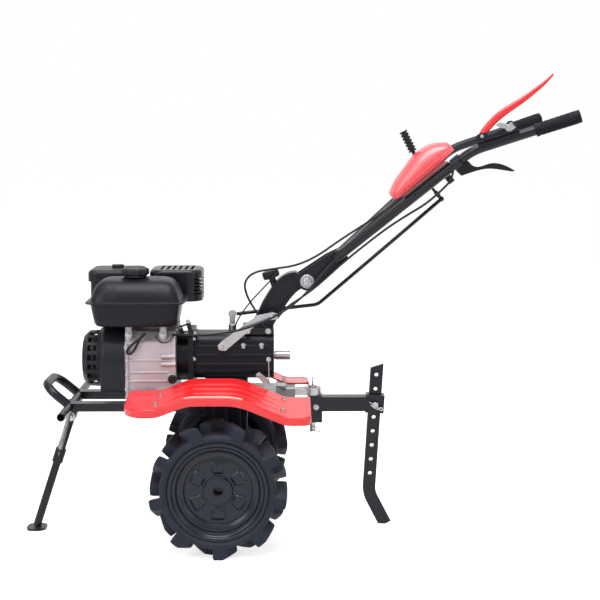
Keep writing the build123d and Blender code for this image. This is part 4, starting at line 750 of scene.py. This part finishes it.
def corner_arc(x, across, radius, start, end, count):
    """Points and outward directions of a quarter circle in plan."""
    way = round_point(np.linspace(start, end, count))
    return np.array([x, across]) + radius * way, way


def fender_rim(inset):
    """The rear, outer and front edges in plan, moved inwards by the inset, with their outward directions."""
    rear_arc, rear_way = corner_arc(FENDER_REAR + REAR_ROUND, FENDER_WIDTH - REAR_ROUND, REAR_ROUND - inset,
                                    np.pi, np.pi / 2, 12)
    front_arc, front_way = corner_arc(FENDER_FRONT - FRONT_ROUND, FENDER_WIDTH - FRONT_ROUND, FRONT_ROUND - inset,
                                      np.pi / 2, 0, 24)
    rear = np.linspace((FENDER_REAR + inset, 0.0), (FENDER_REAR + inset, rear_arc[0, 1]), SIDE_COUNT)
    run = np.linspace((rear_arc[-1, 0], FENDER_WIDTH - inset), (front_arc[0, 0], FENDER_WIDTH - inset), TOP_COUNT)
    front = np.linspace((FENDER_FRONT - inset, front_arc[-1, 1]), (FENDER_FRONT - inset, 0.0), SIDE_COUNT)
    points = np.concatenate([rear[:-1], rear_arc, run[1:-1], front_arc, front[1:]])
    backward, outward, forward = (np.tile(way, (count, 1)) for way, count in (
        ((-1.0, 0.0), SIDE_COUNT - 1), ((0.0, 1.0), TOP_COUNT - 2), ((1.0, 0.0), SIDE_COUNT - 1)))
    return points, np.concatenate([backward, rear_way, outward, front_way, forward])


# %% fender sheets
edge, ways = fender_rim(RIM_WIDTH)
rear_edge, front_edge = edge[:SIDE_COUNT], edge[-SIDE_COUNT:][::-1]
top_edge = edge[SIDE_COUNT - 1:len(edge) - SIDE_COUNT + 1]
columns = len(top_edge)
u = (top_edge[:, 0] - top_edge[0, 0]) / (top_edge[-1, 0] - top_edge[0, 0])
v = np.linspace(0, 1, SIDE_COUNT)
inner_edge = np.stack([edge[0, 0] + u * (edge[-1, 0] - edge[0, 0]), np.zeros(columns)], axis=1)
U, V = u[:, None, None], v[None, :, None]
plan = ((1 - V) * inner_edge[:, None] + V * top_edge[:, None] + (1 - U) * rear_edge[None] + U * front_edge[None]
        - (1 - U) * (1 - V) * edge[0] - U * (1 - V) * edge[-1] - (1 - U) * V * top_edge[0] - U * V * top_edge[-1])
x, across = plan[..., 0], plan[..., 1]
away = np.abs(across[..., None] - RIDGES)
swell = np.where(away < RIDGE_HALF, 0.5 + 0.5 * np.cos(np.pi * away / RIDGE_HALF), 0.0).sum(axis=-1)
fade = np.interp(x, RIDGE_ENDS, UP_AND_DOWN)
top_sheet = on_fender(x, across, RIDGE_RISE * swell * fade)
under_sheet = on_fender(x, across, -SHEET)

rise = np.linspace(-RIM_WIDTH, -LIP_ROUND, 7)
slope = np.pi * (rise + RIM_WIDTH) / (RIM_WIDTH - LIP_ROUND)
roll = np.linspace(0, np.pi / 2, 8)[1:]
bead = np.concatenate([
    np.stack([rise, RIM_RISE * (0.5 - 0.5 * np.cos(slope))], axis=1),
    np.stack([-LIP_ROUND + LIP_ROUND * np.sin(roll), RIM_RISE - LIP_ROUND + LIP_ROUND * np.cos(roll)], axis=1),
    [(0.0, 1.2 - LIP_DROP), (-0.5, 0.3 - LIP_DROP), (-1.4, -LIP_DROP), (-2.3, 0.3 - LIP_DROP),
     (-2.8, 1.4 - LIP_DROP), (-2.8, -LIP_ROUND), (-LIP_ROUND, -SHEET), (-RIM_WIDTH, -SHEET)]])
spread = edge[:, None] + ways[:, None] * (bead[None, :, :1] + RIM_WIDTH)
lip = on_fender(spread[..., 0], spread[..., 1], bead[None, :, 1])
seam = np.stack([top_sheet[:, 0], under_sheet[:, 0]], axis=1)
sheets = [(sheet.reshape(-1, 3), grid_faces(*sheet.shape[:2], close_columns=False))
          for sheet in (top_sheet, under_sheet, seam)]
shell = many([*sheets, (lip.reshape(-1, 3), closed_faces(len(edge), len(bead), close_columns=False))])
for name, flip in SIDES:
    make_piece(f"fender_{name}_pressing", shell[0] * flip, shell[1], "red_paint", "chassis", [f"fender_{name}"])

# %% [markdown]
# ## Wheels
# A wheel is pressed from sheet and welded to a turned hub. Its section is a closed line of (radius, distance from
# the wheel's middle); cutting the corners of its face twice, each time at a quarter of every run, makes pressed
# bends of it. Six pads stand out of the flat disc where the cosine of six times the angle is high, and the bore is
# a hexagon.

# %% wheel pressings
WHEEL_Y, AXLE_Z = 235.0, 180.0
FACE = [(131, 39.7), (131, 43.2), (127, 43.6), (122.5, 42.8), (118.6, 36.5), (114.5, 33.8), (111, 33.4),
        (110.2, 29), (108.4, 28.6), (107.2, 31.6), (101, 31.8), (93, 27), (89.8, 25.6), (88.9, 19),
        (86.4, 18), *((r, 18.6) for r in (83, 79, 76, 70, 64, 58, 52, 47)), (44, 18.4), (39, 18),
        (38, 20.5), (37.6, 26.2), (34, 27.4), (18, 27.5), (14.6, 27.5), (13.6, 26)]
BORE = [(13.6, 10), (13.6, -60), (13.6, -82.4)]
BACK = [(24, -82.4), (24, 6.6), (37.9, 6.6), (37.9, 13), (82, 13.4), (88, 16.5), (94, 22),
        (104, 25), (112, 27), (116, 25), (116, -39), (118, -43.4), (131, -43.4),
        (131, -39.7), (119.9, -39.7), (119.9, 39.7)]
PADS, PAD_RISE, PAD_ENDS = 6, 4.6, (44.0, 51.0, 72.0, 80.0)
HEX_FLAT, BORE_RADIUS, WHEEL_STEPS = 11.8, 14.0, 216


def bent(line):
    """Corner cutting: every run of an open line gives way to the points at a quarter and three quarters of it."""
    line = np.asarray(line, float)
    near, far = 0.75 * line[:-1] + 0.25 * line[1:], 0.25 * line[:-1] + 0.75 * line[1:]
    return np.concatenate([line[:1], np.stack([near, far], axis=1).reshape(-1, 2), line[-1:]])


def about_axle(radius, angle, y):
    """Points r sin t, y, r cos t + h of rings about the axle, which lies at the height h."""
    points = np.broadcast_arrays(radius * np.sin(angle), y, radius * np.cos(angle) + AXLE_Z)
    return np.stack(points, axis=-1).reshape(-1, 3)


section = np.concatenate([bent(bent(FACE)), BORE, BACK])
angle = full_turn(WHEEL_STEPS)
radius = np.where(section[:, :1] < BORE_RADIUS, HEX_FLAT / np.cos(to_flat(angle)), section[:, :1])
step = np.clip(1.4 * np.cos(PADS * angle) + 0.45, 0.0, 1.0)
pad = step ** 2 * (3 - 2 * step)
window = np.interp(section[:, 0], PAD_ENDS, UP_AND_DOWN)
on_face = np.arange(len(section)) < len(section) - len(BORE) - len(BACK)
out = section[:, 1:] + PAD_RISE * pad * (window * on_face)[:, None]
wheel = about_axle(radius, angle, out + WHEEL_Y)
wheel_faces = grid_faces(len(section), WHEEL_STEPS, close_rows=True)
# The plug is a dark disc of wheel paint a little inside each bore, over the bright end of the axle: painted shade
# in the hole.
plug = rod(14.2, 0.0, 2.5, (0.0, WHEEL_Y + 1.6, AXLE_Z), LEFT, 36)
for name, flip in SIDES:
    make_piece(f"wheel_{name}_pressing", wheel * flip, wheel_faces, "wheel_paint", "wheels", [f"wheel_{name}"],
               crease=50)
# Both dark bore discs are one piece of painted shade.
bore_shades = many([(plug[0] * flip, plug[1]) for _, flip in SIDES])
make_piece("axle_bore_shades", *bore_shades, "wheel_paint", "wheels")

# %% [markdown]
# ## Knob, plug and small engine parts
# The hand knob under the handlebar and the oil plug are turned shapes whose radius swells in ribs round the rim.
# The switch lead, the throttle wire and the stop rod are round wires along smooth routes, and the throttle's
# linkage and the gear case's small lever are cut plates.

# %% knob and oil plug
KNOB_FOOT, KNOB_LEAN = (-144.2, 0.0, 687.6), np.radians(18)
KNOB = [(0, 20), (18, 20), (20.6, 20.8), (21.8, 22.5), (22.0, 25), (22.0, 36), (21.6, 39), (20, 41.2), (17, 42),
        (12, 41.6), (0, 41.4)]
OIL_PLUG = [(0, 0), (12, 0), (12, 3), (9.5, 3.4), (9.5, 4.6), (11.2, 5), (11.2, 10.4), (10.2, 11.4), (0, 11.6)]


def ribs(count, rise, first, last):
    """A function that scales the radius: round ribs, on the profile's rows between the first and the last."""
    return lambda angle, row: 1.0 + rise * np.cos(count * angle) * ((row > first) & (row < last))


knob_way = (np.sin(KNOB_LEAN), 0.0, np.cos(KNOB_LEAN))
knob = turned(KNOB, KNOB_FOOT, knob_way, 264, ribs(22, 0.045, 2, 7))
make_piece("knob_ribbed", *knob, "cap_black", "chassis", ["clamp_knob"])
oil_plug = turned(OIL_PLUG, (129.5, ENGINE_SIDE, 443.5), LEFT, 96, ribs(8, 0.07, 4, 8))
make_piece("oil_plug", *oil_plug, "cap_black", "chassis")

# %% leads, linkage and lever
SWITCH_LEAD = [(200, 99, 569), (206, 100, 561), (223, 101, 549), (243, 101, 532), (252, 101, 518), (246, 101, 512),
               (234, 101, 517), (225, 101, 533), (216, 100, 552), (206, 99, 566)]
THROTTLE_WIRE = [(173, 97, 562), (171, 98, 556), (164, 98, 547), (152, 98, 542), (138, 98, 545), (129, 98, 554),
                 (126, 96, 562)]
STOP_ROD = [(-158, 30, 727), (-120, 32, 688), (-77, 34, 643), (-50, 36, 605), (-38, 38, 582), (-33, 38, 556)]
leads = [carried(route(SWITCH_LEAD), circle(3.2, 12)), carried(route(THROTTLE_WIRE), circle(1.7, 10)),
         carried(route(STOP_ROD), circle(1.9, 10))]
make_piece("small_leads", *many(leads), "cable_sheath", "chassis")


def side_plate(outline, low, high):
    """A plate with an outline given as (x, z), from low to high towards the left."""
    return plate([(x, 0, z) for x, z in outline], LEFT, low, high)


linkage = [side_plate([(64, 557), (118, 557), (118, 563), (64, 563)], 44, 74),
           side_plate([(74, 562), (82, 598), (88, 602), (94, 598), (92, 586), (86, 562)], 66, 69),
           side_plate([(98, 562), (106, 584), (114, 588), (119, 580), (110, 562)], 58, 61),
           side_plate([(84, 588), (116, 578), (117, 582), (86, 593)], 69, 71)]
make_piece("throttle_linkage", *many(linkage), "black_paint", "chassis")
screws = [bolt_head((88, 69, 596), LEFT, TINY), bolt_head((112, 61, 582), LEFT, TINY),
          bolt_head((70, 66, 563), UP, MINOR)]

LEVER = [(-94, 450), (-104, 456), (-112, 450), (-132, 432), (-135, 424), (-128, 416), (-119, 420), (-106, 434)]
flange = turned([(0, 0), (6.5, 0), (6.5, 13), (5.5, 14), (0, 14)], (-129.0, 60.0, 492.0), LEFT, 24)
lever = [side_plate(LEVER, 61.5, 66), flange, bolt_head((-102, 66, 447), LEFT, MINOR),
         carried(route([(-129, 67, 486), (-130, 67, 460), (-129, 67, 432), (-127, 66, 424)]), circle(1.4, 10))]
make_piece("case_lever", *many(lever + screws), "bright_steel", "chassis")

# %% [markdown]
# ## Tyres
# The measured tyre has plain lugs. A moulded one has a round shoulder and lugs with soft edges. The carcass is a
# turned section; a lug is a rounded trapezoid carried from the shoulder past the middle while it turns about the
# axle, so that a point at c round the tread, radius r and distance y has the angle a + (c + sweep) / R about it.

# %% tyre treads
CARCASS = [(120.3, 39.2), (126, 39.6), (132.5, 40.2), (134, 43.6), (136.4, 45.6), (138.2, 46), (139.4, 47.2),
           (141.6, 47.2), (143, 46.2), (146.5, 45.6), (149.6, 43.4), (151.4, 39), (151.8, 30), (151, 15)]
LUGS, LUG_STEP, LUG_SWEEP, TREAD_R, TYRE_R = 9, 40.0, 34.0, 166.0, 180.0
LUG_HALF = [(20, 145), (17.6, 152), (15.6, 166), (14.2, 174), (12.6, 178), (9.6, 179.7), (5, 180)]
LUG = np.array([*((-across, up) for across, up in LUG_HALF), *LUG_HALF[::-1]])
LUG_ROWS = np.array([(47.2, 0.86, 4.0), (46.6, 0.93, 2.0), (45.4, 0.98, 0.6), (43.0, 1.0, 0.0), (30.0, 1.0, 0.0),
                     (15.0, 0.98, 0.0), (2.0, 0.96, 0.0), (-4.0, 0.93, 0.4), (-6.0, 0.88, 1.6), (-7.0, 0.8, 4.0)])


def tread_lug(start, side, middle):
    """One lug: rows of (distance, width share, drop) from the shoulder inwards, each a rounded trapezoid."""
    out, share, drop = LUG_ROWS.T
    sweep = LUG_SWEEP * (LUG_ROWS[0, 0] - out) / (LUG_ROWS[0, 0] - LUG_ROWS[-1, 0])
    turn = np.radians(start) + (LUG[None, :, 0] * share[:, None] + sweep[:, None]) / TREAD_R
    radius = np.minimum(LUG[None, :, 1], TYRE_R - drop[:, None])
    return about_axle(radius, turn, middle + side * out[:, None]), closed_faces(len(LUG_ROWS), len(LUG))


half = bent(bent(CARCASS))
carcass = np.concatenate([half, (half * [1, -1])[::-1]])
TYRE_STEPS = 180
for name, side_of in (("left", 1.0), ("right", -1.0)):
    middle = side_of * WHEEL_Y
    ring = about_axle(carcass[:, :1], full_turn(TYRE_STEPS), middle + carcass[:, 1:])
    lugs = [tread_lug(180.0 + (number + shift) * LUG_STEP, side, middle)
            for number in range(LUGS) for shift, side in ((0.0, side_of), (0.5, -side_of))]
    shape = many([(ring, grid_faces(len(carcass), TYRE_STEPS, close_rows=True)), *lugs])
    make_piece(f"tyre_{name}_tread", *shape, "tyre_rubber", "wheels", [f"tyre_{name}"], crease=50)

# %% [markdown]
# ## Fuel tank and its cap
# The tank is two deep-drawn halves crimped at a seam. Every level of it is a superellipse, |x/a|^n + |y/b|^n = 1,
# whose half-lengths shrink by an inset that depends on the height: slowly up the sides and quickly over the
# shoulder. The cap is turned, and ten scallops for the fingers cut its rim.

# %% tank and cap
TANK_MIDDLE, TANK_HALF = np.array([225.0, 52.0]), np.array([121.0, 83.0])
TANK_LEVELS = np.array([
    (587, 82), (587, 60), (587, 30), (587.4, 22), (589.2, 16.5), (592.5, 12.5), (598, 9.5), (610, 7.2), (630, 3.6),
    (649, 0.6), (651, 0), (651.2, -11), (652, -12), (654.6, -12), (655.4, -11), (655.6, 0), (657, 0.4), (668, 3.2),
    (680, 7.2), (690, 11.6), (697, 15.6), (703, 20.6), (707.6, 26), (711, 32.6), (713.6, 40), (715.4, 48),
    (716.5, 58), (717, 70), (717, 82)])
TANK_POWER, TANK_SEAM, TANK_DOME, TANK_LEAN = 2 / 6.5, 656.0, 61.0, 0.25
PANEL_HALF, PANEL_MIDDLE, PANEL_HIGH, PANEL_RISE = 58.0, 682.0, 17.0, 1.4
height, inset = TANK_LEVELS[:, :1], TANK_LEVELS[:, 1:]
lean = np.where(height > TANK_SEAM, 1.0 + TANK_LEAN * (height - TANK_SEAM) / TANK_DOME, 1.0)
turn = full_turn(240)
level_x, level_y = superellipse(turn, TANK_POWER)
tank_x = (TANK_HALF[0] - inset) * level_x
tank_y = np.maximum(TANK_HALF[1] - inset * lean, 0.5) * level_y
pressed = (np.clip(1.25 - np.abs(tank_x / PANEL_HALF) ** 6, 0, 1)
           * np.clip(1.2 - np.abs((height - PANEL_MIDDLE) / PANEL_HIGH) ** 4, 0, 1))
tank_y = tank_y + PANEL_RISE * pressed * (np.sin(turn) > 0.3)
tank = np.stack([tank_x + TANK_MIDDLE[0], tank_y + TANK_MIDDLE[1], np.repeat(height, len(turn), axis=1)], axis=-1)
make_piece("tank_pressing", tank.reshape(-1, 3), grid_faces(len(TANK_LEVELS), len(turn)), "tank_black", "chassis",
           ["fuel_tank"], crease=40)

CAP = [(0, 0), (30, 0), (30.5, 5), (32, 6.4), (36, 7.2), (37.6, 9.4), (37.8, 18), (37.0, 21.4), (34.4, 23.8),
       (29, 24.8), (24, 24.9), (22.6, 23.6), (12, 23.8), (0, 24)]


def cap_scallops(angle, row):
    """Scale of the radius: ten finger scallops on the rim's rows, deepest half way between the lobes."""
    return 1.0 - 0.10 * (0.5 + 0.5 * np.cos(10 * angle)) ** 2 * ((row > 3) & (row < 10))


cap = turned(CAP, (229.0, 62.0, 717.0), UP, 240, cap_scallops)
make_piece("cap_scalloped", *cap, "cap_black", "chassis", ["fuel_cap"])

# %% [markdown]
# ## Console cover
# The cover of the gear lever is moulded with a short skirt and a domed back. Across it the dome is a superellipse;
# along it the height follows the measured line, smoothed, and both shrink to nothing at the ends, as
# (1 - u^n)^(1/n) does.

# %% console
MIDDLE = np.array([1.0, 0.0, 1.0])
RUN_WAY, RUN_FOOT = unit((HANDLE_BEND - HANDLE_FOOT) * MIDDLE), HANDLE_FOOT * MIDDLE
RUN_UP = np.array([RUN_WAY[2], 0.0, -RUN_WAY[0]])
CONSOLE_BASE, CONSOLE_START, CONSOLE_LENGTH, CONSOLE_HALF, SKIRT = 16.6, 224.0, 208.0, 60.0, 10.0
CONSOLE_LINE = np.array([(0.0, 22), (0.16, 38), (0.37, 48.5), (0.56, 58.5), (0.70, 57.5), (0.84, 51), (1.0, 26)])
CONSOLE_ROWS, DOME_POWER, DOME_SHARE, LEDGE = 90, 2 / 2.4, 0.985, 0.8


def on_run(along, up, across):
    """A point above the lower run of the handle: along the slope, square to it, and to the left."""
    along, up, across = (np.asarray(part, float)[..., None] for part in (along, up, across))
    return RUN_FOOT + along * RUN_WAY + up * RUN_UP + across * LEFT


share = 0.5 + 0.5 * np.sin(np.pi / 2 * np.linspace(-1, 1, CONSOLE_ROWS))
line_at = np.linspace(-0.2, 1.2, 281)
line = np.interp(line_at, CONSOLE_LINE[:, 0], CONSOLE_LINE[:, 1])
window = np.hanning(41) / np.hanning(41).sum()
tall = np.interp(share, line_at, np.convolve(line, window, mode="same"))
u = np.abs(2 * share - 1)
tall = (tall * (1 - u ** 14) ** (1 / 14))[:, None]
wide = (CONSOLE_HALF * (1 - u ** 7) ** (1 / 7))[:, None]
dome_across, dome_up = superellipse(np.linspace(0, np.pi, 60), DOME_POWER)
foot, skirt = np.zeros((CONSOLE_ROWS, 1)), np.minimum(SKIRT, 0.5 * tall)
across = wide * np.concatenate([[1.0, 1.0], DOME_SHARE * dome_across, [-1.0, -1.0]])
dome = skirt + LEDGE + (tall - skirt - LEDGE).clip(0) * dome_up
above = np.concatenate([foot, skirt, dome, skirt, foot], axis=1)
along = np.repeat(CONSOLE_START + CONSOLE_LENGTH * share[:, None], across.shape[1], axis=1)
cover = on_run(along, CONSOLE_BASE + above, across)
make_piece("console_cover", cover.reshape(-1, 3), grid_faces(*across.shape), "red_plastic", "handlebar",
           ["console"], crease=40)

# %% [markdown]
# ## Shift link
# A link hangs from the plate under the console and holds the shift rod's upper end in a ball joint. The ball is a
# half circle turned about the link's line, r = R cos a at the height R sin a; the link and its sleeve are plain
# turned rods.

# %% shift link
BALL, LINK, SLEEVE = 7.5, 4.0, 6.0
rod_end = np.array(ROD_ROUTE[-1], float)
link_length = HANDLE_TUBE - (rod_end - RUN_FOOT) @ RUN_UP
ball = BALL * round_point(np.linspace(-np.pi / 2, np.pi / 2, 17))
link = [turned(ball, rod_end, RUN_UP, 32), rod(LINK, 4, link_length, rod_end, RUN_UP),
        rod(SLEEVE, 9, 26, rod_end, RUN_UP)]
make_piece("shift_link", *many(link), "black_paint", "handlebar")

# %% [markdown]
# ## Clutch lever
# The lever is a forged bar that swells towards its middle and thins to the tip: a superellipse carried along a
# smooth line in the plane of the left grip, scaled from place to place. Its eye is riveted between two ears.

# %% clutch lever and its holder
LEVER_LINE = [(31, 27), (42, 36), (60, 48), (82, 60), (108, 70), (140, 78), (170, 87), (200, 98), (225, 108),
              (241, 117), (247, 120.5)]
LEVER_HALF = [8.5, 9.4, 9.4, 9.6, 9.4, 8.6, 7.6, 6.6, 5.6, 4.2, 2.4]
LEVER_EYE, CATCH_RIVET, OVAL_POWER = (35, 27), (113, 34), 0.8
EAR = [(19, 8), (19, 27), (24, 34), (36, 36), (45, 33), (54, 25), (72, 24), (92, 29), (101, 39), (108, 43),
       (116, 42), (121, 36), (127, 14), (127, 8)]
SADDLE = [(19, 1), (19, 15), (127, 15), (127, 1)]

path = route(at_grip(LEVER_LINE))
gone = np.linalg.norm(np.diff(path, axis=0), axis=1).cumsum()
widths = np.interp(np.append(0.0, gone) / gone[-1], np.linspace(0, 1, len(LEVER_HALF)), LEVER_HALF)
oval = np.stack(superellipse(full_turn(28), OVAL_POWER), axis=1) * [1.0, 1.1]
eye = turned([(0, -9), (8.6, -9), (9.6, -8), (9.6, 8), (8.6, 9), (0, 9)], at_grip(LEVER_EYE), square, 36)
bar = many([carried(path, oval, up=square, widths=widths), eye])
make_piece("clutch_lever_bar", *bar, "red_paint", "handlebar", ["clutch_lever"])
holder = [plate(at_grip(outline), square, low, high)
          for outline, low, high in ((EAR, 10.0, 13.5), (EAR, -13.5, -10.0), (SADDLE, -13.5, 13.5))]
make_piece("clutch_holder", *many(holder), "black_paint", "handlebar", ["clutch_bracket"])
rivets = [rod(4.2, -15, 15, at_grip(place), square) for place in (LEVER_EYE, CATCH_RIVET)]
make_piece("clutch_rivets", *many(rivets), "bright_steel", "handlebar")
